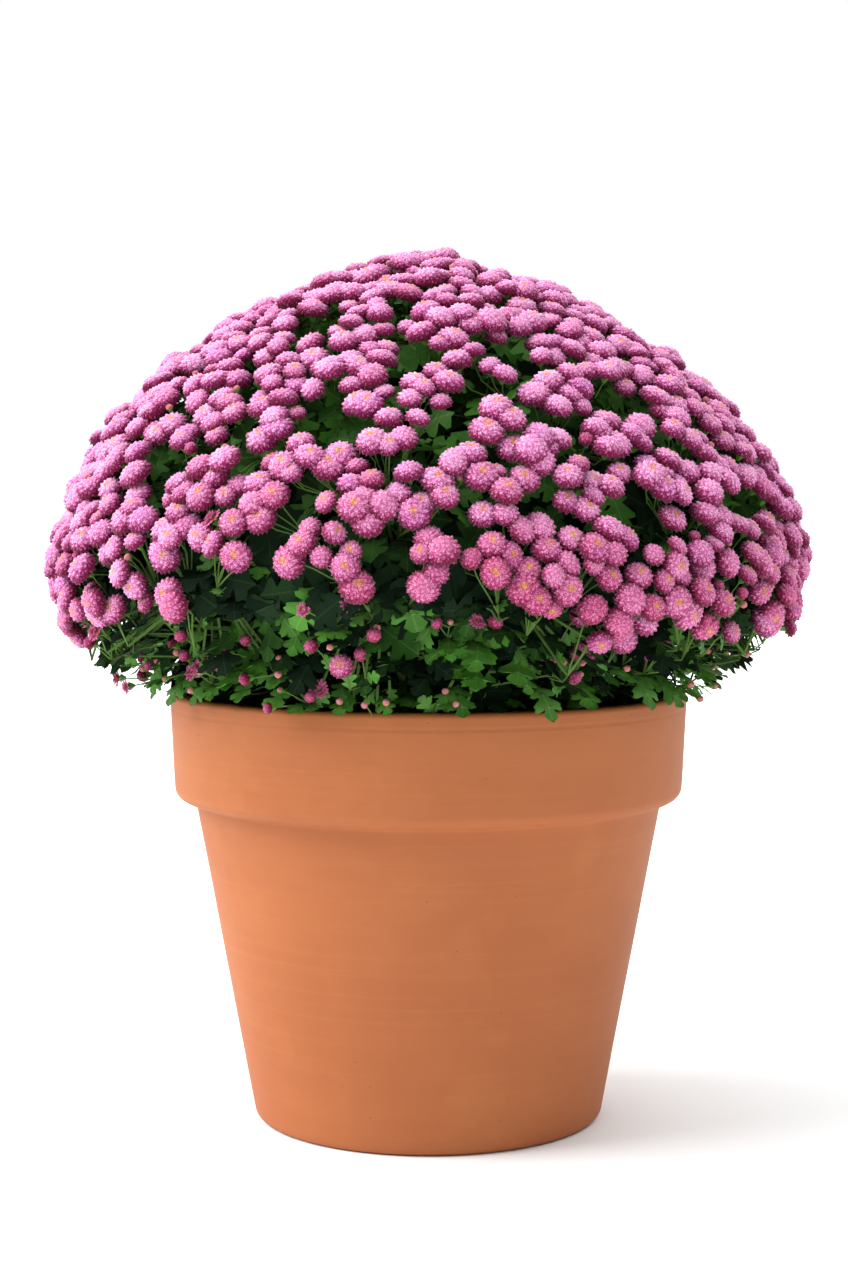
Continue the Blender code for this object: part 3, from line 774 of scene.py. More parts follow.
@dataclass(frozen=True)
class PomponPattern:
    """A pompon bloom: petals in golden-angle spirals over a cushion."""

    radius: float
    crown: float
    skirt: float
    petals: int
    tip: float
    eye: float = 0.0
    dimple: float = 0.0
    youth: float = 0.0
    seed: int = 1
    end: float = radians(124.0)
    crowding: float = 0.6
    lean: float = 0.3
    waist_pull: float = 0.42
    diamond_angle: float = radians(70.0)

    def cushion(self) -> list[tuple[float, float, float]]:
        """Corner points between the petals, on the cushion's surface.

        Returns:
            Points from the crown to the skirt.
        """
        points = []
        half = 0.5 * pi
        for index in range(self.petals):
            share = (index + 0.5) / self.petals
            angle = self.end * share**self.crowding
            if angle <= half:
                reach = self.radius * sin(angle)
                height = self.crown * cos(angle)
            else:
                under = (angle - half) / (self.end - half)
                reach = self.radius * (1.0 - self.waist_pull * under * under)
                height = -self.skirt * under
            turn = index * GOLDEN_ANGLE
            points.append((reach * cos(turn), reach * sin(turn), height))
        return points

    def build(self) -> Pattern:
        """Model the bloom: hull of the corners, faces joined in diamonds, each poked to a tip.

        Returns:
            The bloom's pattern, its axis along +Z and its widest ring at height 0.
        """
        mesh = bpy.data.meshes.new("pompon")
        mesh.from_pydata(self.cushion(), [], [])
        piece = link("pompon", mesh)
        hold(piece)
        open_mesh("VERT")
        bpy.ops.mesh.convex_hull()
        limit = self.diamond_angle
        bpy.ops.mesh.tris_convert_to_quads(face_threshold=limit, shape_threshold=limit)
        close_mesh()
        floor = -0.97 * self.skirt
        faces = piece.data.polygons
        petals = {f.index for f in faces if f.normal.z > -0.72 and f.center.z > floor}
        corners = len(piece.data.vertices)
        select_where(piece, "FACE", lambda index: index in petals)
        bpy.ops.mesh.poke(offset=self.tip, use_relative_offset=False)
        close_mesh()
        self.shape_tips(piece, corners)
        for edge in piece.data.edges:
            edge.use_edge_sharp = max(edge.vertices) < corners
        return Pattern.take(piece, "petal", "age", "spot")

    def shape_tips(self, piece: Piece, corners: int) -> None:
        """Lean the petal tips towards the skirt, sink the eye and mark the colours.

        The marks are `petal` (tip, eye, tone), `age` (youth, bud, side) and `spot`, the place
        on the flattened bloom where the finish draws its finer petals. Tip and side also carry
        painted light and shade: paler tips and crown, darker valleys and lower side.

        Args:
            piece: The poked cushion.
            corners: How many vertices lie between petals; the tips come after them.
        """
        rng = random.Random(self.seed)
        points = places_of(piece)
        share = np.hypot(points[:, 0], points[:, 1]) / self.radius
        turn = np.arctan2(points[:, 1], points[:, 0])
        fall = np.arctan2(share, points[:, 2] / self.crown)
        ring = np.clip(share, 0.12, 1.0) ** 0.8
        spot = columns(ring * np.cos(turn), ring * np.sin(turn), 0.55 * fall)
        spot += rng.uniform(2.0, 9.0)
        petal = np.zeros_like(points)
        age = np.zeros_like(points)
        spacing = self.radius * sqrt(8.0 / self.petals)
        for index, point in enumerate(points):
            is_tip = index >= corners
            if is_tip:
                normal = Vector(point * (1.0, 1.0, (self.radius / self.crown) ** 2)).normalized()
                down = (normal * normal.z - UP).normalized()
                slide = self.lean * spacing * min(share[index] * 1.3, 1.0)
                lift = self.tip * (0.35 * share[index] ** 2 + rng.uniform(-0.25, 0.25))
                points[index] = Vector(point) + down * slide + normal * lift
            # Painted light and shade: tips paler than valleys, and valleys paler towards the crown.
            crowned = max(point[2] / self.crown, 0.0)
            low = 0.42 * crowned + rng.uniform(-0.06, 0.1)
            petal[index, 0] = rng.uniform(0.75, 1.0) if is_tip else low
            petal[index, 2] = rng.uniform(0.0, 1.0)
        if self.eye > 0.0:
            petal[:, 1] = np.clip((self.eye - share) / (0.5 * self.eye) + 0.5, 0.0, 1.0)
        points[:, 2] -= self.dimple * np.exp(-((share / 0.26) ** 2))
        age[:, 0] = self.youth * (1.0 - 0.25 * share)
        # Painted shade mark: 0 at the crown to 1 at the skirt.
        age[:, 2] = np.clip(1.0 - points[:, 2] / self.crown * 1.25, 0.0, 1.0)
        move_points(piece, points)
        store(piece, "petal", petal)
        store(piece, "age", age)
        store(piece, "spot", spot)


@dataclass(frozen=True)
class StarPattern:
    """A young bloom: two rings of open strap petals round an orange disc."""

    length: float = 0.0062
    width: float = 0.0023
    thickness: float = 0.00035
    rays: int = 15
    disc: float = 0.0026
    rings: tuple[Span, ...] = ((radians(12.0), 1.0), (radians(38.0), 0.78))
    seed: int = 7

    def ray(self) -> Pattern:
        """One strap petal along +X, a thin closed blade with a rounded tip.

        Returns:
            The petal's pattern.
        """
        piece, column, across = start_sheet(2, 1)
        along = np.array([0.0, 0.66, 1.0])[column]
        half = np.array([0.28, 0.47, 0.22])[column]
        lift = 0.16 * np.sin(along * 2.4)
        shaped = columns(along * self.length, across * half * self.width, lift * self.length)
        move_points(piece, shaped)
        store(piece, "petal", columns(0.1 + 0.8 * along, 0.0, 0.5))
        store(piece, "age", columns(1.0 - 0.2 * along, 0.0, 0.0))
        store(piece, "spot", columns(along, across * 0.3, 0.0))
        thicken(piece, self.thickness)
        smooth(50.0)
        return Pattern.take(piece, "petal", "age", "spot")

    def build(self, eye: Pattern) -> list[tuple[Pattern, np.ndarray]]:
        """Lay the rays out in two rings, with the disc in the middle.

        Args:
            eye: Pattern of the orange disc.

        Returns:
            The parts of one bloom and their points.
        """
        rng = random.Random(self.seed)
        ray = self.ray()
        parts = [(eye, eye.points)]
        for ring, (rise, size) in enumerate(self.rings):
            for index in range(self.rays):
                turn = 2.0 * pi * (index + 0.5 * ring + rng.uniform(-0.12, 0.12)) / self.rays
                tilt = rise + rng.uniform(-0.12, 0.12)
                spin = Matrix.Rotation(turn, 3, "Z") @ Matrix.Rotation(-tilt, 3, "Y")
                points = ray.points * size * rng.uniform(0.9, 1.1)
                points = points + np.array([0.35 * self.disc, 0.0, -0.0004 + 0.0006 * ring])
                parts.append((ray, points @ np.array(spin).T))
        return parts


class LeafForm(Enum):
    """How a leaf is held: arch along the rib, fold up beside it, droop of its lobes, twist."""

    FLAT = (0.1, 0.05, 0.45, 0.0)
    ARCHED = (0.26, 0.12, 0.7, 0.1)
    DROOPING = (0.42, 0.16, 0.85, -0.12)
    CUPPED = (-0.1, 0.26, 0.35, 0.16)


@dataclass(frozen=True)
class LeafPattern:
    """A lobed, toothed leaf of length 1 along +X, its face towards +Z."""

    form: LeafForm
    edge: tuple[Span, ...]
    rows: int
    seed: int
    thickness: float = 0.011
    weld: float = 0.0012

    def build(self) -> Pattern:
        """Reshape a grid to the leaf's outline, thicken it inside the margin and close it.

        Returns:
            The leaf's pattern.
        """
        arch, fold, droop, twist = self.form.value
        last = len(self.edge) - 1
        piece, column, across = start_sheet(last, self.rows)
        edge = np.array(self.edge)
        rib = edge[:, 0] - 0.12 * np.sin(pi * edge[:, 0] ** 0.8)
        side = np.abs(across)
        along = rib[column] + (edge[column, 0] - rib[column]) * side
        reach = edge[column, 1] * across
        wave = 0.022 * np.sin(along * 19.0 + self.seed) * side
        lift = -arch * along * (along - 0.5) + fold * np.abs(reach) - droop * reach**2 + wave
        lift += twist * along * reach
        move_points(piece, columns(along, reach, lift))
        store(piece, "leaf", columns(along, reach, 0.5))
        inside = piece.vertex_groups.new(name="inside")
        margin = (side > 0.99) | (column == last) | (column == 0)
        inside.add([int(i) for i in np.nonzero(~margin)[0]], 1.0, "REPLACE")
        thicken(piece, self.thickness, inside.name)
        open_mesh("FACE")
        bpy.ops.mesh.remove_doubles(threshold=self.weld)
        close_mesh(outwards=True)
        smooth(62.0)
        normals = read_all(piece.data.vertices, "normal")
        under = (normals[:, 2] < -0.25).astype(float)
        store(piece, "part", columns(0.0, 0.0, under))
        return Pattern.take(piece, "leaf", "part")


@dataclass(frozen=True)
class StrandPattern:
    """A closed round strand of length 1 along +Z and radius 1, in rings to be bent."""

    sides: int
    rings: int

    def build(self) -> Pattern:
        """Extrude a disc ring by ring.

        Returns:
            The strand's pattern; each point's height tells its ring.
        """
        piece = start_disc(self.sides, 1.0)
        for _ in range(self.rings):
            raise_faces(1.0 / self.rings)
        close_mesh(outwards=True)
        # Zero leaf marks leave a strand in the foliage's near-black painted shade, under its stalk
        # colour.
        zero = np.zeros((len(piece.data.vertices), 3))
        store(piece, "leaf", zero)
        store(piece, "part", zero)
        smooth(75.0)
        return Pattern.take(piece, "leaf", "part")


@dataclass(frozen=True)
class CalyxPattern:
    """The green cup of pointed scales under a bloom, its rim at height 0, of radius 1."""

    sides: int = 6
    depth: float = 1.15
    foot: float = 0.34
    spread: float = 2.9
    scale_rise: float = 0.22

    def build(self) -> Pattern:
        """Extrude a small disc up to the rim and pull every second rim corner out.

        Returns:
            The cup's pattern.
        """
        piece = start_disc(self.sides, self.foot, -self.depth)
        raise_faces(1.05 * self.depth, self.spread)
        close_mesh(outwards=True)
        points = places_of(piece)
        rim = points[:, 2] > -0.1
        turn = np.arctan2(points[:, 1], points[:, 0])
        points[:, 2] += np.where(rim, self.scale_rise * np.cos(turn * self.sides * 0.5), 0.0)
        move_points(piece, points)
        zero = np.zeros((len(points), 3))
        store(piece, "leaf", zero + (0.5, 0.2, 0.75))
        store(piece, "part", zero + (0.35, 0.0, 0.0))
        smooth(50.0)
        return Pattern.take(piece, "leaf", "part")


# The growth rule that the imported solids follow


@dataclass
class Site:
    """One place on the dome, where a bloom stands or a gap shows the leaves below."""

    point: Vector
    normal: Vector
    theta: float
    azimuth: float
    lift: float
    spray: int = -1
    bloom: bool = False

    def at(self, depth: float) -> Vector:
        """The point at a height along the site's own direction."""
        return self.point + self.normal * (self.lift + depth)


@dataclass
class MainStem:
    """The course of one main stem, from its hole in the soil to its fork under the spray."""

    foot: Vector
    bend: Vector
    fork: Vector
    azimuth: float
    theta: float

    def root_for(self, place: Vector, drop: float = 0.015) -> Vector:
        """The point of the upper stem where a stalk for a place begins.

        Args:
            place: Where the leaf's blade or the side shoot's fork is.
            drop: How far below the place the stalk leaves the stem.

        Returns:
            A point on the stem's axis.
        """
        run = self.fork - self.bend
        share = (place - self.bend).dot(run) / run.length_squared - drop / run.length
        return self.bend + run * clamp(share, 0.15, 0.97)


class Centre(NamedTuple):
    """The middle of one spray on the dome."""

    point: Vector
    normal: Vector
    theta: float
    azimuth: float


@dataclass
class GrowthRule:
    """Sites, sprays and stems of the dome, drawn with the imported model's own seed."""

    radius: float = 0.2915
    waist: float = 0.42
    rise: float = 0.245
    drop: float = 0.12
    point: float = 1.163
    swelling: float = 0.004
    site_count: int = 655
    site_end: float = radians(136.0)
    jitter: float = 0.16
    lift_range: Span = (-0.0035, 0.0045)
    spray_count: int = 24
    spray_end: float = radians(103.0)
    gap_count: int = 34
    gap_start: float = radians(14.0)
    soil_top: float = 0.3
    soil_reach: float = 0.15
    hole_depth: float = 0.03
    stem_straight: float = 0.01
    fork_depth: float = 0.052
    seed: int = 20
    sites: list[Site] = field(default_factory=list)
    near: list[set[int]] = field(default_factory=list)
    gaps: list[int] = field(default_factory=list)
    stems: list[MainStem] = field(default_factory=list)

    def profile(self, theta: float) -> tuple[float, float]:
        """Radius and height of the dome.

        Args:
            theta: Angle from its top.

        Returns:
            The two measures.
        """
        across = sin(theta)
        along = cos(theta)
        if along >= 0.0:
            return self.radius * across**self.point, self.waist + self.rise * along**self.point
        return self.radius * across, self.waist + self.drop * along

    def frame(self, theta: float, azimuth: float) -> tuple[Vector, Vector]:
        """Point and outward direction of the dome.

        Args:
            theta: Angle from the top.
            azimuth: Angle round the axis.

        Returns:
            The point and the unit direction.
        """
        radius, height = self.profile(theta)
        reach = 0.01
        low = self.profile(max(theta - reach, 0.001))
        high = self.profile(min(theta + reach, pi - 0.001))
        slope = Vector((high[0] - low[0], high[1] - low[1])).normalized()
        around, _ = bearings(azimuth)
        normal = around * -slope.y + Vector((0.0, 0.0, slope.x))
        return around * radius + Vector((0.0, 0.0, height)), normal.normalized()

    def area_table(self, end: float, steps: int = 600) -> tuple[np.ndarray, np.ndarray]:
        """Angles from the top, and the dome's surface above each.

        Args:
            end: Last angle.
            steps: How many angles.

        Returns:
            The angles and the areas.
        """
        thetas = np.linspace(0.0, end, steps)
        places = np.array([self.profile(theta) for theta in thetas])
        runs = np.hypot(*np.diff(places, axis=0).T)
        rings = 2.0 * pi * 0.5 * (places[1:, 0] + places[:-1, 0]) * runs
        return thetas, np.concatenate([[0.0], np.cumsum(rings)])

    def swell(self, theta: float, azimuth: float) -> float:
        """Slow rise and fall of the dome.

        Args:
            theta: Angle from the top.
            azimuth: Angle round the axis.

        Returns:
            The rise in metres.
        """
        broad = sin(3.0 * azimuth + 0.9) * sin(2.2 * theta + 0.5)
        fine = sin(7.0 * azimuth + 4.0 * theta + 2.0) * sin(theta)
        return self.swelling * (0.6 * broad + 0.6 * fine)

    def bloom_edge(self, azimuth: float) -> float:
        """Where the blooms end and the leaf skirt begins.

        Args:
            azimuth: Angle round the axis.

        Returns:
            The angle from the top.
        """
        turn = azimuth + 0.5 * pi
        wave = -7.5 * cos(2.0 * turn + 0.44) + 4.5 * sin(4.0 * turn - 0.17)
        return radians(101.5 + wave + 2.0 * sin(9.0 * turn + 2.0))

    def grow(self) -> GrowthRule:
        """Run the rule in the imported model's order of draws.

        Returns:
            The rule itself, filled in.
        """
        rng = random.Random(self.seed)
        self.grow_sites(rng)
        centres = self.spray_centres()
        self.join_sites()
        for site in self.sites:
            site.bloom = site.theta < self.bloom_edge(site.azimuth)
            distances = [(site.point - centre.point).length for centre in centres]
            site.spray = distances.index(min(distances))
        self.open_gaps(rng)
        for spray in range(self.spray_count):
            self.keep_whole(spray)
        self.lay_out_stems(centres)
        return self

    def grow_sites(self, rng: random.Random) -> None:
        """Lay out bloom sites at the golden angle, each on an equal share of the surface.

        Args:
            rng: The rule's draws.
        """
        thetas, area = self.area_table(self.site_end)
        spacing = sqrt(area[-1] / self.site_count)
        for index in range(self.site_count):
            share = (index + 0.5) / self.site_count * area[-1]
            theta = float(np.interp(share, area, thetas))
            azimuth = index * GOLDEN_ANGLE
            radius = max(self.profile(theta)[0], spacing)
            theta += rng.uniform(-self.jitter, self.jitter) * spacing / self.radius
            azimuth += rng.uniform(-self.jitter, self.jitter) * spacing / radius
            theta = max(theta, 0.01)
            point, normal = self.frame(theta, azimuth)
            lift = self.swell(theta, azimuth) + rng.uniform(*self.lift_range)
            self.sites.append(Site(point, normal, theta, azimuth, lift))

    def spray_centres(self) -> list[Centre]:
        """Lay out the middles of the sprays.

        Returns:
            One centre for each spray.
        """
        thetas, area = self.area_table(self.spray_end)
        centres = []
        for index in range(self.spray_count):
            share = (index + 0.5) / self.spray_count * area[-1]
            theta = float(np.interp(share, area, thetas))
            azimuth = index * GOLDEN_ANGLE
            centres.append(Centre(*self.frame(theta, azimuth), theta, azimuth))
        return centres

    def join_sites(self) -> None:
        """Find each site's neighbours, from the triangles between the sites."""
        shape = bmesh.new()
        for site in self.sites:
            shape.verts.new(site.point)
        shape.verts.ensure_lookup_table()
        shape.verts.index_update()
        bmesh.ops.convex_hull(shape, input=shape.verts)
        self.near = [set() for _ in self.sites]
        for face in shape.faces:
            corners = {vertex.index for vertex in face.verts}
            for corner in corners:
                self.near[corner] |= corners - {corner}
        shape.free()

    def open_gaps(self, rng: random.Random) -> None:
        """Leave a few sites of each spray without a bloom, never two side by side.

        Args:
            rng: The rule's draws.
        """
        opened = [0] * self.spray_count
        most = ceil(self.gap_count / self.spray_count)
        order = [index for index, site in enumerate(self.sites) if site.bloom]
        rng.shuffle(order)
        for index in order:
            site = self.sites[index]
            crowded = any(not self.sites[other].bloom for other in self.near[index])
            full = opened[site.spray] >= most or len(self.gaps) >= self.gap_count
            if crowded or full or site.theta < self.gap_start:
                continue
            site.bloom = False
            opened[site.spray] += 1
            self.gaps.append(index)
        self.gaps.sort()

    def keep_whole(self, spray: int) -> None:
        """Move a bloom that its own spray doesn't touch to a spray beside it, or drop it.

        Args:
            spray: Index of the spray.
        """
        sites = self.sites
        left = {i for i, site in enumerate(sites) if site.bloom and site.spray == spray}
        groups = []
        while left:
            group = {left.pop()}
            edge = set(group)
            while edge:
                edge = {other for index in edge for other in self.near[index]} & left
                left -= edge
                group |= edge
            groups.append(group)
        groups.sort(key=len, reverse=True)
        for group in groups[1:]:
            for index in sorted(group):
                near = [o for o in self.near[index] if sites[o].bloom and o not in group]
                beside = [sites[other].spray for other in near]
                sites[index].bloom = bool(beside)
                sites[index].spray = max(set(beside), key=beside.count) if beside else spray

    def lay_out_stems(self, centres: Sequence[Centre]) -> None:
        """Set up the stems in their sprays' order, each in the upright plane of its spray.

        Args:
            centres: The middles of the sprays.
        """
        for index, (point, normal, theta, azimuth) in enumerate(centres):
            reach = self.soil_reach * sqrt((index + 0.5) / self.spray_count)
            around = bearings(azimuth)[0] * reach
            foot = around + UP * (self.soil_top - self.hole_depth)
            bend = around + UP * (self.soil_top + self.stem_straight)
            fork = point + normal * (self.swell(theta, azimuth) - self.fork_depth)
            self.stems.append(MainStem(foot, bend, fork, azimuth, theta))

    def low_stem(self, azimuth: float, lowest: float = radians(66.0)) -> int:
        """Find the stem that leaves and shoots of the skirt spring from.

        Args:
            azimuth: Angle round the axis.
            lowest: Only sprays below this angle from the top count.

        Returns:
            The index of the nearest such stem.
        """

        def off(index: int) -> float:
            """How far a stem's plane is turned from the azimuth."""
            turned = azimuth - self.stems[index].azimuth + pi
            return abs(turned % (2.0 * pi) - pi)

        low = [index for index, stem in enumerate(self.stems) if stem.theta > lowest]
        return min(low, key=off)


# Plant: blooms, stalks and leaves


class BloomKind(Enum):
    """What a flower stalk carries, and how far under its middle the green cup sits."""

    FULL = ("full", 0.004)
    EYED = ("eyed", 0.004)
    SMALL_FULL = ("small full", 0.0032)
    SMALL_EYED = ("small eyed", 0.0032)
    STAR = ("star", 0.0016)
    HALF_OPEN = ("half open", 0.0022)
    BUD = ("bud", 0.0008)

    @property
    def seat(self) -> float:
        """How far under the bloom's middle its cup sits."""
        return self.value[1]


@dataclass
class Bloom:
    """One flower: where it sits, how it looks out and how far it has opened."""

    centre: Vector
    axis: Vector
    kind: BloomKind
    scale: float
    tone: float
    # Crimson of a young bloom, which on low blooms also paints their shade.
    youth: float = 0.0
    clump: int = 0


class Shoot(NamedTuple):
    """A side shoot from a stem to a fork, with its radius at both ends."""

    start: Vector
    end: Vector
    thick: float
    thin: float = 0.0008


@dataclass
class LeafSeat:
    """One leaf: its base, the way it points, the way its face looks, and its length."""

    base: Vector
    direction: Vector
    face: Vector
    length: float
    shade: float
    detail: int
    root: Vector
    form: int
    curl: float
    loose: bool = False


def group_places(places: np.ndarray, count: int) -> tuple[np.ndarray, np.ndarray]:
    """Divide places into neighbourly groups.

    Args:
        places: One row for each place.
        count: How many groups.

    Returns:
        The group of each place, and the middle of each group.
    """
    picked = [0]
    for _ in range(count - 1):
        gaps = np.min([np.linalg.norm(places - places[p], axis=1) for p in picked], axis=0)
        picked.append(int(np.argmax(gaps)))
    middles = places[picked]
    for _ in range(6):
        owner = np.argmin([np.linalg.norm(places - middle, axis=1) for middle in middles], axis=0)
        groups = [places[owner == group] for group in range(count)]
        middles = np.array([g.mean(axis=0) if len(g) else m for g, m in zip(groups, middles)])
    return owner, middles


@dataclass(frozen=True)
class PhotoNotes:
    """Features placed where the photograph shows them, with a few more all round.

    Azimuths and angles from the top are in degrees; azimuth -90 looks at the camera and 0 to
    the right. A leaf over the rim has azimuth, height, length and lean; a stray bloom azimuth,
    height, radius, kind and youth; an opening azimuth, angle and radius; a dent azimuth,
    angle, reach and depth.
    """

    rim_leaves: tuple[tuple[float, float, float, float], ...] = (
        (-106, 0.345, 0.024, -0.2), (-100, 0.343, 0.018, 0.5), (-87, 0.343, 0.017, 0.1),
        (-68, 0.35, 0.03, 0.2), (-43, 0.357, 0.036, -0.1), (-30, 0.347, 0.026, 0.2),
        (-8, 0.352, 0.036, 0.2), (-142, 0.35, 0.026, -0.3), (-170, 0.352, 0.03, 0.2),
        (-80, 0.372, 0.036, -0.2), (20, 0.352, 0.03, 0.1), (55, 0.35, 0.028, -0.2),
        (88, 0.352, 0.034, 0.2), (121, 0.35, 0.026, 0.1), (158, 0.354, 0.032, -0.2),
        (-36, 0.35, 0.034, 0.3), (-120, 0.348, 0.028, -0.2), (-152, 0.352, 0.032, 0.1),
        (-20, 0.352, 0.03, -0.3), (-131, 0.35, 0.024, 0.3), (-57, 0.352, 0.028, -0.3),
    )
    strays: tuple[tuple[float, float, float, BloomKind, float], ...] = (
        (-104, 0.367, 0.245, BloomKind.SMALL_EYED, 0.75),
        (-101, 0.375, 0.243, BloomKind.HALF_OPEN, 0.9),
        (-109, 0.38, 0.245, BloomKind.HALF_OPEN, 0.9),
        (-64, 0.377, 0.245, BloomKind.SMALL_EYED, 0.8),
        (-67, 0.401, 0.262, BloomKind.SMALL_EYED, 0.6),
        (-140, 0.404, 0.262, BloomKind.HALF_OPEN, 0.9),
        (-134, 0.384, 0.25, BloomKind.HALF_OPEN, 0.9),
        (-22, 0.398, 0.286, BloomKind.SMALL_FULL, 0.6),
        (-156, 0.406, 0.284, BloomKind.SMALL_EYED, 0.5),
        (-150, 0.384, 0.276, BloomKind.STAR, 0.4),
        (-113, 0.353, 0.214, BloomKind.BUD, 0.2),
        (-107, 0.34, 0.212, BloomKind.BUD, 0.2),
        (-98, 0.34, 0.213, BloomKind.BUD, 0.2),
        (-102, 0.338, 0.214, BloomKind.BUD, 0.2),
        (-87, 0.348, 0.214, BloomKind.BUD, 0.2),
        (-85, 0.339, 0.213, BloomKind.BUD, 0.2),
        (-61, 0.366, 0.22, BloomKind.BUD, 0.2),
        (-148, 0.41, 0.282, BloomKind.EYED, 0.5),
        (-153, 0.4, 0.28, BloomKind.SMALL_EYED, 0.6),
        (-143, 0.402, 0.277, BloomKind.EYED, 0.4),
        (-136, 0.409, 0.272, BloomKind.SMALL_EYED, 0.6),
        (-131, 0.408, 0.268, BloomKind.EYED, 0.3),
        (-160, 0.394, 0.28, BloomKind.SMALL_EYED, 0.6),
        (-165, 0.378, 0.272, BloomKind.HALF_OPEN, 0.8),
        (-158, 0.374, 0.268, BloomKind.HALF_OPEN, 0.8),
        (-30, 0.392, 0.276, BloomKind.EYED, 0.3),
        (-38, 0.386, 0.27, BloomKind.SMALL_EYED, 0.5),
        (-16, 0.385, 0.278, BloomKind.SMALL_EYED, 0.6),
        (-57, 0.397, 0.268, BloomKind.EYED, 0.3),
        (-60, 0.385, 0.262, BloomKind.EYED, 0.5),
        (36, 0.385, 0.262, BloomKind.SMALL_EYED, 0.5),
        (105, 0.378, 0.256, BloomKind.HALF_OPEN, 0.8),
        (140, 0.392, 0.264, BloomKind.SMALL_FULL, 0.5),
    )
    openings: tuple[tuple[float, float, float], ...] = (
        (-81, 52, 0.018), (-53, 54, 0.016), (-89, 65, 0.011), (-108, 71, 0.015),
        (-76, 73, 0.016), (-87, 76, 0.011), (-112, 81, 0.015), (-56, 77, 0.012),
        (-95, 84, 0.015), (-134, 84, 0.012), (-126, 86, 0.012), (-68, 33, 0.013),
        (-94, 93, 0.017), (-122, 92, 0.016), (-58, 105, 0.02), (-141, 108, 0.018),
        (-130, 104, 0.016), (-104, 97, 0.014), (-143, 87, 0.011), (-150, 94, 0.013),
        (-139, 97, 0.013), (-38, 72, 0.009), (-35, 80, 0.01), (-38, 90, 0.013),
        (-32, 98, 0.012), (-45, 97, 0.012), (-27, 86, 0.01),
    )
    dents: tuple[tuple[float, float, float, float], ...] = (
        (0, 36, 0.08, 0.015), (180, 30, 0.08, 0.008), (0, 0, 0.06, 0.005),
        (0, 88, 0.11, 0.006), (180, 80, 0.11, 0.004), (-20, 104, 0.06, 0.006),
        (182, 101, 0.07, 0.016), (0, 96, 0.05, 0.008), (-20, 16, 0.032, 0.009),
    )


class SkirtRow(NamedTuple):
    """The top or bottom row of the leaf skirt."""

    radius: float
    height: float
    dip: float
    length: float


class LeafLayer(NamedTuple):
    """A layer of old leaves inside the dome, between two depths below its surface."""

    count: int
    shallow: float
    deep: float
    size: float
    start: float


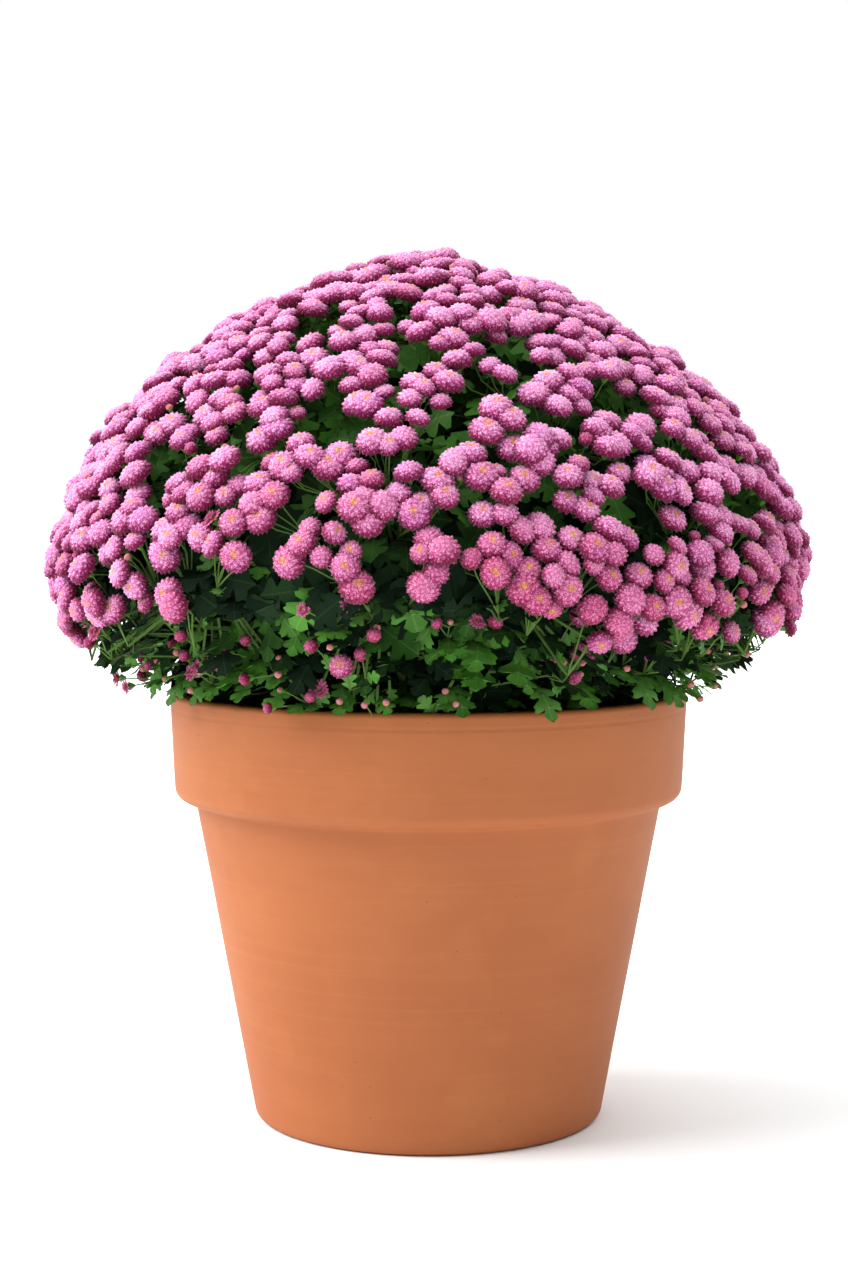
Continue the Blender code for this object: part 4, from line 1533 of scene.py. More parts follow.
@dataclass
class Plant:
    """The whole plant: 24 sprays of blooms, each on one leafy stem.

    A leaf's shade is painted light and shade: 0 paints it dark as if deep in shade and 1 bright as
    if in full light, where young leaves at forks and sprigs also sit. A leaf's detail runs from 0
    deep inside to 3 for the largest in front.
    """

    rule: GrowthRule
    notes: PhotoNotes = PhotoNotes()
    full_radius: float = 0.0111
    small_radius: float = 0.0088
    bloom_places: int = 1860
    bloom_end: float = radians(114.0)
    wander: float = 0.3
    drift: float = 0.17
    upturn: float = 0.66
    low_upturn: float = 0.2
    bare_share: float = 0.3
    bare_pitch: float = 24.0
    clump_size: float = 5.2
    clump_pull: float = 0.13
    clump_depth: float = 0.04
    gap_leaf: tuple[Span, Span] = ((0.026, 0.038), (-0.038, -0.024))
    clump_leaf: Span = (0.022, 0.034)
    bract: Span = (0.011, 0.018)
    bract_shade: float = 0.85
    low_fork: float = 0.452
    top_glow: float = 0.3
    skirt_layers: tuple[tuple[int, float, float, int], ...] = (
        (84, 0.0, 0.66, 3), (430, -0.008, 0.48, 2), (240, -0.04, 0.85, 0),
    )
    skirt_top: SkirtRow = SkirtRow(0.258, 0.438, radians(76.0), 0.062)
    skirt_bottom: SkirtRow = SkirtRow(0.193, 0.352, radians(32.0), 0.05)
    soil_leaves: int = 206
    core_layers: tuple[LeafLayer, ...] = (
        LeafLayer(320, 0.026, 0.04, 0.036, 0.0), LeafLayer(250, 0.05, 0.08, 0.066, 0.0),
        LeafLayer(120, 0.085, 0.125, 0.07, 0.0), LeafLayer(120, 0.034, 0.058, 0.054, 64.0),
    )
    core_end: float = radians(112.0)
    rim_reach: float = 0.197
    sprigs: int = 46
    sprig_low: float = 0.352
    shoot_size: float = 6.0
    shoot_depth: float = 0.018
    wall_reach: float = 0.207
    wall_top: float = 0.338
    skirt_reach: tuple[Span, ...] = (
        (0.32, 0.212), (0.345, 0.228), (0.375, 0.25), (0.41, 0.28), (0.44, 0.288),
    )
    seed: int = 31
    blooms: list[list[Bloom]] = field(default_factory=list)
    clumps: list[list[Vector]] = field(default_factory=list)
    leaves: list[list[LeafSeat]] = field(default_factory=list)
    shoots: list[list[Shoot]] = field(default_factory=list)

    def __post_init__(self) -> None:
        """Start with empty sprays and the plant's own draws."""
        self.rng = random.Random(self.seed)
        for lists in (self.blooms, self.clumps, self.leaves, self.shoots):
            lists.extend([] for _ in range(self.rule.spray_count))

    def grow(self) -> Plant:
        """Place every bloom, clump, leaf and sprig.

        Returns:
            The plant itself, filled in.
        """
        self.place_blooms()
        for spray in range(self.rule.spray_count):
            self.gather_clumps(spray)
        self.place_gap_leaves()
        self.place_clump_leaves()
        self.place_skirt_leaves()
        self.place_core_leaves()
        self.place_soil_leaves()
        self.place_rim_leaves()
        self.place_strays()
        for spray in range(self.rule.spray_count):
            self.join_shoots(spray)
        self.place_sprigs()
        return self

    def join_shoots(self, spray: int) -> None:
        """Give the loose leaves of the skirt and the rim side shoots to spring from.

        Args:
            spray: Index of the stem that the shoots leave.
        """
        loose = [leaf for leaf in self.leaves[spray] if leaf.loose]
        if not loose:
            return
        count = max(1, round(len(loose) / self.shoot_size))
        owner, middles = group_places(np.array([leaf.base for leaf in loose]), count)
        hubs = []
        for middle in middles:
            inward = Vector((middle[0], middle[1], 0.0)).normalized() * self.shoot_depth
            hubs.append(Vector(middle) - inward - UP * 0.4 * self.shoot_depth)
            start = self.rule.stems[spray].root_for(hubs[-1], 0.03)
            self.shoots[spray].append(Shoot(start, hubs[-1], 0.0011))
        for leaf, group in zip(loose, owner):
            leaf.root = hubs[group]

    def is_bare(self, place: Vector, theta: float) -> bool:
        """Whether a place stays without a bloom.

        Args:
            place: The place on the dome.
            theta: Its angle from the top.

        Returns:
            True in the openings that the photograph shows, and in a few more all round.
        """
        for turn, fall, reach in self.notes.openings:
            middle, _ = self.rule.frame(radians(fall), radians(turn))
            if (place - middle).length < reach:
                return True
        seen = 0.45 if place.y < -0.1 else 1.0
        share = seen * self.bare_share * clamp(theta - 0.25)
        return 0.5 + 0.5 * noise.noise(place * self.bare_pitch) < share

    def sink(self, place: Vector) -> float:
        """How far the dome lies below its smooth shape.

        Args:
            place: The place on the dome.

        Returns:
            The depth of all dents there.
        """
        depth = 0.0
        for turn, fall, reach, most in self.notes.dents:
            middle, _ = self.rule.frame(radians(max(fall, 0.5)), radians(turn))
            depth += most * exp(-(place - middle).length_squared / reach**2)
        return depth

    def pick_kind(self, theta: float, edge: float) -> BloomKind:
        """Choose what a place carries.

        Args:
            theta: The place's angle from the top.
            edge: Angle at which the blooms end.

        Returns:
            The kind; young and eyed ones are more common near the lower edge.
        """
        low = clamp((theta - edge + 0.55) / 0.55)
        draw = self.rng.random()
        limits = (
            (0.004 + 0.014 * low, BloomKind.STAR),
            (0.018 + 0.045 * low, BloomKind.HALF_OPEN),
            (0.045 + 0.065 * low, BloomKind.BUD),
            (0.2 + 0.06 * low, BloomKind.SMALL_EYED),
            (0.32, BloomKind.SMALL_FULL),
            (0.66 + 0.16 * low, BloomKind.EYED),
        )
        return next((kind for limit, kind in limits if draw < limit), BloomKind.FULL)

    def place_blooms(self) -> None:
        """Place blooms at the golden angle over the dome, thinned by bare patches."""
        rng = self.rng
        rule = self.rule
        tree = KDTree(len(rule.sites))
        for index, site in enumerate(rule.sites):
            tree.insert(site.point, index)
        tree.balance()
        thetas, area = rule.area_table(self.bloom_end)
        spacing = sqrt(area[-1] / self.bloom_places)
        for index in range(self.bloom_places):
            theta = float(np.interp((index + 0.5) / self.bloom_places * area[-1], area, thetas))
            azimuth = index * GOLDEN_ANGLE + 1.0
            radius = max(rule.profile(theta)[0], spacing)
            theta += rng.uniform(-self.wander, self.wander) * spacing / rule.radius
            theta = max(theta, 0.01)
            azimuth += rng.uniform(-self.wander, self.wander) * spacing / radius
            point, normal = rule.frame(theta, azimuth)
            site = rule.sites[tree.find(point)[1]]
            if not site.bloom or self.is_bare(point, theta):
                continue
            edge = rule.bloom_edge(azimuth)
            kind = self.pick_kind(theta, edge)
            low = clamp((theta - edge + 0.6) / 0.6)
            drift = Vector((rng.gauss(0, 1), rng.gauss(0, 1), rng.gauss(0, 1))) * self.drift
            upturn = self.upturn + (self.low_upturn - self.upturn) * low
            axis = (normal + UP * upturn + drift).normalized()
            lift = 0.5 * (rule.swell(theta, azimuth) + site.lift) + rng.uniform(-0.0065, 0.002)
            lift -= self.sink(point)
            tone = clamp(rng.gauss(0.5, 0.25))
            # Painted shade: low blooms, less so on the lit left, get more of the young crimson.
            low_bloom_shade = low * (1.65 - 0.6 * low) * (1.0 - 0.65 * clamp(-point.x / 0.26))
            youth = clamp(rng.gauss(low_bloom_shade - 0.06, 0.2))
            scale = rng.uniform(0.93, 1.13)
            bloom = Bloom(point + normal * lift, axis, kind, scale, tone, youth)
            self.blooms[site.spray].append(bloom)

    def gather_clumps(self, spray: int) -> None:
        """Group a spray's blooms, draw each a little to its clump's middle and tilt it out.

        Args:
            spray: Index of the spray.
        """
        blooms = self.blooms[spray]
        count = max(3, round(len(blooms) / self.clump_size))
        owner, middles = group_places(np.array([bloom.centre for bloom in blooms]), count)
        fork = self.rule.stems[spray].fork
        for middle in middles:
            outward = (Vector(middle) - fork).normalized()
            low = clamp((self.rule.waist + 0.1 - middle[2]) / 0.1)
            rise = (outward + UP * 1.5 * low).normalized()
            self.clumps[spray].append(Vector(middle) - rise * self.clump_depth * (1.0 + 0.1 * low))
        for bloom, clump in zip(blooms, owner):
            bloom.clump = int(clump)
            away = bloom.centre - Vector(middles[clump])
            away -= bloom.axis * away.dot(bloom.axis)
            bloom.centre -= away * self.clump_pull
            bloom.centre += bloom.axis * (0.0015 - 6.0 * away.length_squared)
            bloom.axis = (bloom.axis + away * 10.0).normalized()

    @staticmethod
    def highness(height: float) -> float:
        """0 for a leaf on the flanks and 1 for one near the top, which more light reaches."""
        return clamp((height - 0.5) / 0.07)

    def add_leaf(
        self, spray: int, base: Vector, direction: Vector, face: Vector, length: float,
        shade: float, detail: int,
    ) -> LeafSeat:
        """Seat one leaf on a spray's stem.

        Args:
            spray: Index of the stem that carries it.
            base: Where the blade starts.
            direction: The way it points.
            face: The way its face looks.
            length: Length of the blade.
            shade: Its painted light and shade, from dark 0 to bright 1.
            detail: How finely it is modelled.

        Returns:
            The leaf.
        """
        base = self.kept_in(base, base + direction.normalized() * length)
        root = self.rule.stems[spray].root_for(base)
        form = self.rng.randrange(len(LeafForm))
        curl = self.rng.uniform(-0.1, 0.35)
        seat = LeafSeat(base, direction, face, length, shade, detail, root, form, curl)
        self.leaves[spray].append(seat)
        return seat

    def place_gap_leaves(self) -> None:
        """Place leaves under the gaps between blooms."""
        rng = self.rng
        lengths, depths = self.gap_leaf
        for index in self.rule.gaps:
            site = self.rule.sites[index]
            side, up = crosswise(site.normal)
            for turn in range(3):
                angle = rng.uniform(0.0, 2.0) + 2.0 * turn
                direction = compass(side, up, angle) + site.normal * 0.04
                length = rng.uniform(*lengths)
                base = site.at(rng.uniform(*depths) - self.sink(site.point))
                base -= direction * 0.45 * length
                # Painted light: gap leaves near the top are brightened, as more light reaches them.
                shade = rng.uniform(0.05, 0.8) + 0.5 * self.top_glow * self.highness(base.z)
                self.add_leaf(site.spray, base, direction, site.normal, length, shade, 2)

    def place_clump_leaves(self) -> None:
        """Place leaves round every clump's fork, just under its blooms."""
        rng = self.rng
        for spray, forks in enumerate(self.clumps):
            for clump, fork in enumerate(forks):
                own = [b for b in self.blooms[spray] if b.clump == clump]
                middle = sum((b.centre for b in own), Vector()) / len(own)
                outward = (middle - fork).normalized()
                side, up = crosswise(outward)
                start = rng.uniform(0.0, 6.28)
                for turn in range(4):
                    angle = start + 2.0 * pi * turn / 4.0 + rng.uniform(-0.3, 0.3)
                    spread = compass(side, up, angle)
                    base = fork + outward * rng.uniform(-0.01, 0.018) + spread * 0.006
                    direction = (spread + outward * rng.uniform(0.0, 0.4)).normalized()
                    length = rng.uniform(*self.clump_leaf)
                    # Painted shade and light: leaves under low forks are darkened, those near the
                    # top brightened.
                    shade = rng.uniform(0.15, 0.7) * (1.0 - 0.55 * int(fork.z < self.low_fork))
                    shade += self.top_glow * self.highness(fork.z)
                    detail = 2 if turn == 0 else 1
                    leaf = self.add_leaf(spray, base, direction, outward, length, shade, detail)
                    leaf.root = fork - outward * 0.006
                self.add_bract(spray, fork, outward)

    def add_bract(self, spray: int, fork: Vector, outward: Vector) -> None:
        """Add one small fresh leaf at a fork.

        Args:
            spray: Index of the stem.
            fork: Where the flower stalks part.
            outward: The way the blooms look.
        """
        rng = self.rng
        spread = compass(*crosswise(outward), rng.uniform(0.0, 2.0 * pi))
        direction = (spread + outward * rng.uniform(0.2, 0.9)).normalized()
        face = (outward - spread * 0.4).normalized()
        length = rng.uniform(*self.bract)
        leaf = self.add_leaf(spray, fork, direction, face, length, self.bract_shade, 1)
        leaf.root = fork - outward * 0.004

    def place_skirt_leaves(self) -> None:
        """Place leaves from under the blooms down to the rim, in several layers."""
        rng = self.rng
        for layer, (count, inward, size, detail) in enumerate(self.skirt_layers):
            for index in range(count):
                azimuth = index * GOLDEN_ANGLE + 0.4 + 1.3 * layer
                edge = self.rule.bloom_edge(azimuth)
                hidden = max((edge - radians(92.0)) / radians(44.0), 0.0)
                share = hidden + (1.0 - hidden) * (index + 0.5) / count
                grown = size * rng.uniform(0.72, 1.08)
                rows = zip(self.skirt_top, self.skirt_bottom)
                radius, height, dip, length = (top + (low - top) * share for top, low in rows)
                offset = inward + rng.uniform(-0.016, 0.012)
                radius += offset
                height += rng.uniform(-0.008, 0.014)
                dip += rng.uniform(-0.45, 0.25)
                around, _ = bearings(azimuth)
                down = around * cos(dip) - UP * sin(dip)
                face = around * sin(dip) + UP * cos(dip)
                turn = Matrix.Rotation(rng.uniform(-1.0, 1.0), 3, face)
                roll = Matrix.Rotation(rng.uniform(-0.45, 0.45), 3, down)
                base = around * radius + UP * height
                owner = self.rule.low_stem(azimuth)
                # Painted shade: skirt leaves set further in are darker.
                shade = rng.random() ** 0.8 * clamp(1.2 + offset / 0.02, 0.08)
                way, look = turn @ down, turn @ roll @ face
                leaf = self.add_leaf(owner, base, way, look, length * grown, shade, detail)
                leaf.loose = True

    def reach_at(self, height: float) -> float:
        """How far from the axis leaves may come.

        Args:
            height: Height above the floor.

        Returns:
            The distance.
        """
        rule = self.rule
        levels, reaches = zip(*self.skirt_reach)
        if height < levels[-1]:
            return float(np.interp(height, levels, reaches))
        share = min((height - rule.waist) / rule.rise, 1.0)
        return rule.radius * (1.0 - share ** (2.0 / rule.point)) ** (0.5 * rule.point)

    def kept_in(self, base: Vector, tip: Vector) -> Vector:
        """Draw a leaf inwards where its tip would stand out from the dome or the skirt.

        Args:
            base: Where the blade starts.
            tip: Where it ends.

        Returns:
            The base, moved inwards until the tip lies inside.
        """
        if tip.z > 0.44:
            inward = (Vector((0.0, 0.0, self.rule.waist)) - tip).normalized()
            margin = 0.006 + self.sink(tip)
        else:
            inward = -Vector((tip.x, tip.y, 0.0)).normalized()
            margin = 0.0
        for step in range(36):
            shift = inward * 0.001 * step
            place = tip + shift
            beyond = place - inward * margin
            if hypot(beyond.x, beyond.y) <= self.reach_at(beyond.z):
                break
        over_wall = hypot(place.x, place.y) < self.wall_reach
        rise = max(self.wall_top - place.z, 0.0) if over_wall else 0.0
        return base + shift + UP * rise

    def place_core_leaves(self) -> None:
        """Place leaves deep inside, painted dark as shade, that close the view through the plant.
        """
        rng = self.rng
        thetas, area = self.rule.area_table(self.core_end)
        for number, layer in enumerate(self.core_layers):
            first = float(np.interp(radians(layer.start), thetas, area))
            for index in range(layer.count):
                share = first + (index + 0.5) / layer.count * (area[-1] - first)
                theta = float(np.interp(share, area, thetas))
                azimuth = index * GOLDEN_ANGLE + 2.1 + 40.0 * layer.shallow
                point, normal = self.rule.frame(theta, azimuth)
                direction = compass(*crosswise(normal), rng.uniform(0.0, 2.0 * pi))
                length = layer.size * rng.uniform(0.85, 1.15)
                base = point - normal * rng.uniform(layer.shallow, layer.deep)
                base -= direction * 0.5 * length
                far = [(stem.fork - base).length for stem in self.rule.stems]
                owner = far.index(min(far))
                # Painted shade: leaves deep inside stay dark, the shallowest near the top less so;
                # those near the top are brightened as painted light.
                shade = rng.uniform(0.0, 0.25) + 0.25 * int(number == 0 and theta < 1.35)
                shade += self.top_glow * self.highness(base.z)
                self.add_leaf(owner, base, direction, normal, length, shade, int(number == 0))

    def place_soil_leaves(self) -> None:
        """Place low leaves over the soil, in two rings, that close the view past the rim."""
        rng = self.rng
        for index in range(self.soil_leaves):
            azimuth = index * GOLDEN_ANGLE + 0.9
            around, side = bearings(azimuth)
            high = index % 2
            near, far, rise = ((0.135, 0.168, 0.35), (0.08, 0.17, 0.392))[high]
            base = around * rng.uniform(near, far) + UP * rng.uniform(0.326, rise)
            direction = around + side * rng.uniform(-0.7, 0.7) + UP * rng.uniform(-0.15, 0.3)
            face = UP + around * rng.uniform(0.1, 0.7)
            if high:
                direction = side * rng.choice((-1.0, 1.0)) + UP * rng.uniform(0.0, 0.6)
                face = around + UP * rng.uniform(0.1, 0.5)
            direction.normalize()
            face.normalize()
            owner = self.rule.low_stem(azimuth)
            length = rng.uniform(0.028, 0.042) + 0.012 * high
            # Painted shade: the upper ring, further inside under the dome, is darker.
            shade = rng.uniform(0.1, 0.7) * (1.0, 0.3)[high]
            detail = int(index % 4 == 0)
            self.add_leaf(owner, base, direction, face, length, shade, detail).loose = True

    def place_rim_leaves(self) -> None:
        """Place the leaves that hang over the rim."""
        for turn, height, length, lean in self.notes.rim_leaves:
            around, side = bearings(radians(turn))
            base = around * self.rim_reach + UP * height
            direction = (around * 0.75 - UP * 0.55 + side * lean).normalized()
            face = (around * 0.6 + UP * 0.8).normalized()
            owner = self.rule.low_stem(radians(turn))
            # Painted light: the leaves over the rim, out in the open, are bright.
            shade = self.rng.uniform(0.6, 0.95)
            leaf = self.add_leaf(owner, base, direction, face, length, shade, 3)
            leaf.base = base
            leaf.loose = True

    def start_clump(self, owner: int, fork: Vector, drop: float, thick: float) -> int:
        """Add a side shoot up to a new fork.

        Args:
            owner: Index of the stem that it leaves.
            fork: Where its flower stalks part.
            drop: How far below the fork it leaves the stem.
            thick: Its radius at the stem.

        Returns:
            The number of the new clump.
        """
        start = self.rule.stems[owner].root_for(fork, drop)
        self.shoots[owner].append(Shoot(start, fork, thick))
        self.clumps[owner].append(fork)
        return len(self.clumps[owner]) - 1

    def place_strays(self) -> None:
        """Place single blooms and buds below the others, each on its own side shoot."""
        for turn, height, radius, kind, youth in self.notes.strays:
            around, side = bearings(radians(turn))
            centre = around * radius + UP * height
            sway = side * self.rng.uniform(-0.4, 0.4)
            owner = self.rule.low_stem(radians(turn))
            fork = centre - around * 0.024 - UP * 0.018 - sway * 0.02
            clump = self.start_clump(owner, fork, 0.03, 0.001)
            axis = (around + UP * 0.35 + sway).normalized()
            self.blooms[owner].append(Bloom(centre, axis, kind, 1.0, 0.5, youth, clump))
            self.add_bract(owner, fork, around)

    def place_sprigs(self) -> None:
        """Place side shoots with buds and young blooms in the leaf skirt."""
        rng = self.rng
        kinds = 3 * [BloomKind.BUD] + 2 * [BloomKind.HALF_OPEN] + [BloomKind.STAR]
        for index in range(self.sprigs):
            azimuth = index * GOLDEN_ANGLE * 1.7 + 0.2
            low = self.sprig_low
            high = self.rule.profile(self.rule.bloom_edge(azimuth))[1] - 0.004
            height = high - (high - low) * rng.random() ** 1.4
            radius = 0.222 + 0.05 * (height - low) / (0.43 - low) + rng.uniform(-0.006, 0.008)
            around, side = bearings(azimuth)
            owner = self.rule.low_stem(azimuth)
            fork = around * (radius - 0.022) + UP * (height - 0.016)
            clump = self.start_clump(owner, fork, 0.015, 0.0011)
            for _ in range(rng.choice((2, 3, 3, 4))):
                spread = side * rng.uniform(-1, 1) + UP * rng.uniform(-0.3, 1.1)
                reach = around * rng.uniform(0.6, 1.1) + spread * 0.9
                centre = fork + reach.normalized() * rng.uniform(0.016, 0.03)
                axis = (reach.normalized() + around * 0.4).normalized()
                kind, scale, tone = rng.choice(kinds), rng.uniform(0.8, 1.1), rng.random()
                self.blooms[owner].append(Bloom(centre, axis, kind, scale, tone, 0.8, clump))
            for _ in range(2):
                sway = side * rng.uniform(-1.0, 1.0) - UP * rng.uniform(0.0, 0.6)
                direction = (around + sway).normalized()
                face = (UP + around * 0.5).normalized()
                length = rng.uniform(0.014, 0.024)
                shade = rng.uniform(0.7, 1.0)
                leaf = self.add_leaf(owner, fork, direction, face, length, shade, 1)
                leaf.root = fork - around * 0.01


# Sprays: patterns copied to where the plant has its parts


@dataclass
class PatternBook:
    """Every pattern of the plant, modelled once.

    A leaf's outline goes from its base to its tip; each corner has its place along the rib
    and its distance from it. There are four grades, from the plainest to the finest.
    """

    outlines: tuple[tuple[int, tuple[Span, ...]], ...] = (
        (2, (
            (0.0, 0.03), (0.22, 0.3), (0.38, 0.33), (0.43, 0.14), (0.66, 0.39), (0.76, 0.17),
            (1.0, 0.0),
        )),
        (2, (
            (0.0, 0.03), (0.13, 0.1), (0.24, 0.31), (0.36, 0.345), (0.43, 0.13),
            (0.55, 0.29), (0.65, 0.4), (0.75, 0.34), (0.75, 0.13), (0.84, 0.205),
            (0.92, 0.145), (1.0, 0.0),
        )),
        (2, (
            (0.0, 0.022), (0.09, 0.05), (0.17, 0.15), (0.24, 0.31), (0.31, 0.29),
            (0.37, 0.355), (0.44, 0.25), (0.42, 0.12), (0.52, 0.2), (0.61, 0.395),
            (0.67, 0.35), (0.73, 0.4), (0.78, 0.27), (0.74, 0.12), (0.82, 0.17),
            (0.87, 0.215), (0.92, 0.15), (0.97, 0.1), (1.0, 0.0),
        )),
        (4, (
            (0.0, 0.022), (0.07, 0.045), (0.15, 0.11), (0.21, 0.215), (0.25, 0.31),
            (0.31, 0.295), (0.36, 0.355), (0.42, 0.3), (0.43, 0.2), (0.42, 0.125),
            (0.5, 0.19), (0.56, 0.31), (0.62, 0.395), (0.67, 0.36), (0.73, 0.4),
            (0.77, 0.31), (0.75, 0.2), (0.74, 0.12), (0.81, 0.17), (0.86, 0.215),
            (0.91, 0.165), (0.96, 0.125), (1.0, 0.0),
        )),
    )
    blooms: dict[BloomKind, list] = field(default_factory=dict)
    leaves: list[list[Pattern]] = field(default_factory=list)
    strand: Pattern = field(init=False)
    short_strand: Pattern = field(init=False)
    stem: Pattern = field(init=False)
    calyx: Pattern = field(init=False)

    def model(self, full: float, small: float) -> PatternBook:
        """Model all patterns.

        Args:
            full: Radius of a full bloom.
            small: Radius of a smaller one.

        Returns:
            The book itself, filled in.
        """
        kinds = BloomKind

        def pompons(seeds: Iterable[int], **sizes: float) -> list[list[tuple]]:
            """Several pompons of the same sizes, each a list of one part."""
            made = [PomponPattern(seed=seed, **sizes).build() for seed in seeds]
            return [[(pattern, pattern.points)] for pattern in made]

        big = dict(radius=full - 0.001, crown=0.0076, skirt=0.0037, petals=95, tip=0.0012)
        less = dict(radius=small - 0.0009, crown=0.006, skirt=0.003, petals=68, tip=0.0011)
        ball = dict(radius=0.0046, crown=0.0046, skirt=0.0024, petals=34, tip=0.0008)
        bead = dict(radius=0.0026, crown=0.0027, skirt=0.0016, petals=15, tip=0.0003)
        disc = dict(radius=0.0026, crown=0.0019, skirt=0.0009, petals=24, tip=0.0005)
        self.blooms[kinds.FULL] = pompons((1, 2, 3), **big)
        self.blooms[kinds.EYED] = pompons((4, 5, 6), eye=0.21, dimple=0.001, **big)
        self.blooms[kinds.SMALL_FULL] = pompons((7, 8), **less)
        self.blooms[kinds.SMALL_EYED] = pompons((9, 10), eye=0.25, dimple=0.001, **less)
        self.blooms[kinds.HALF_OPEN] = pompons((11,), youth=0.9, **ball)
        self.blooms[kinds.BUD] = pompons((12,), youth=0.2, **bead)
        eye = PomponPattern(eye=2.0, seed=13, **disc).build()
        self.blooms[kinds.STAR] = [StarPattern(seed=seed).build(eye) for seed in (14, 15)]
        for rows, edge in self.outlines:
            forms = enumerate(LeafForm)
            self.leaves.append([LeafPattern(form, edge, rows, seed=i).build() for i, form in forms])
        self.strand = StrandPattern(3, 3).build()
        self.short_strand = StrandPattern(3, 1).build()
        self.stem = StrandPattern(8, 10).build()
        self.calyx = CalyxPattern().build()
        return self


def spun_frame(axis: Vector, spin: float) -> np.ndarray:
    """Axes of a bloom or its cup, as rows: two turned about its own, and its own."""
    side, front = crosswise(axis)
    return np.array([compass(side, front, spin), compass(front, -side, spin), axis])


def bezier(ends: Sequence[Vector], shares: np.ndarray) -> np.ndarray:
    """Points on a cubic curve.

    Args:
        ends: Four control points.
        shares: Where on the curve, from 0 to 1.

    Returns:
        One row for each share.
    """
    one, two, three, four = (np.array(end) for end in ends)
    share = shares[:, None]
    rest = 1.0 - share
    inner = 3 * rest**2 * share * two
    outer = 3 * rest * share**2 * three
    return rest**3 * one + inner + outer + share**3 * four


def bent_strand(pattern: Pattern, ends: Sequence[Vector], radii: Span) -> np.ndarray:
    """Points of a strand laid along a cubic curve.

    Args:
        pattern: The straight strand.
        ends: Four control points of the curve.
        radii: Radius at the start and at the end.

    Returns:
        The points of the copy.
    """
    shares = pattern.points[:, 2].astype(float)
    step = 0.02
    ahead = bezier(ends, np.minimum(shares + step, 1.0))
    behind = bezier(ends, np.maximum(shares - step, 0.0))
    run = ahead - behind
    run /= np.linalg.norm(run, axis=1)[:, None]
    side, _ = crosswise((ends[3] - ends[0]).normalized())
    front = np.cross(run, np.array(side))
    front /= np.linalg.norm(front, axis=1)[:, None]
    across = np.cross(front, run)
    thick, thin = radii
    radius = thick + (thin - thick) * shares
    spread = across * pattern.points[:, :1] + front * pattern.points[:, 1:2]
    return bezier(ends, shares) + spread * radius[:, None]


def copy_bloom(growth: Growth, parts: list[tuple], bloom: Bloom, rng: random.Random) -> None:
    """Add one bloom to a spray's mesh.

    Args:
        growth: The spray's copies.
        parts: The bloom's parts and their points.
        bloom: Where and how it sits.
        rng: Source of its spin and slight unevenness.
    """
    frame = spun_frame(bloom.axis, rng.uniform(0.0, 2.0 * pi))
    stretch = rng.uniform(-0.05, 0.05)
    sizes = np.array([1.0 + stretch, 1.0 - stretch, rng.uniform(0.88, 1.12)]) * bloom.scale
    frame *= sizes[:, None]
    for pattern, points in parts:
        petal = pattern.marks["petal"].copy()
        petal[:, 2] = 0.35 * petal[:, 2] + 0.65 * bloom.tone
        age = pattern.marks["age"].copy()
        # The young crimson, which on low blooms is also painted shade.
        age[:, 0] = np.clip(age[:, 0] + bloom.youth * 0.9, 0.0, 1.0)
        age[:, 1] = float(bloom.kind is BloomKind.BUD)
        growth.add(pattern, points @ frame + np.array(bloom.centre), petal=petal, age=age)


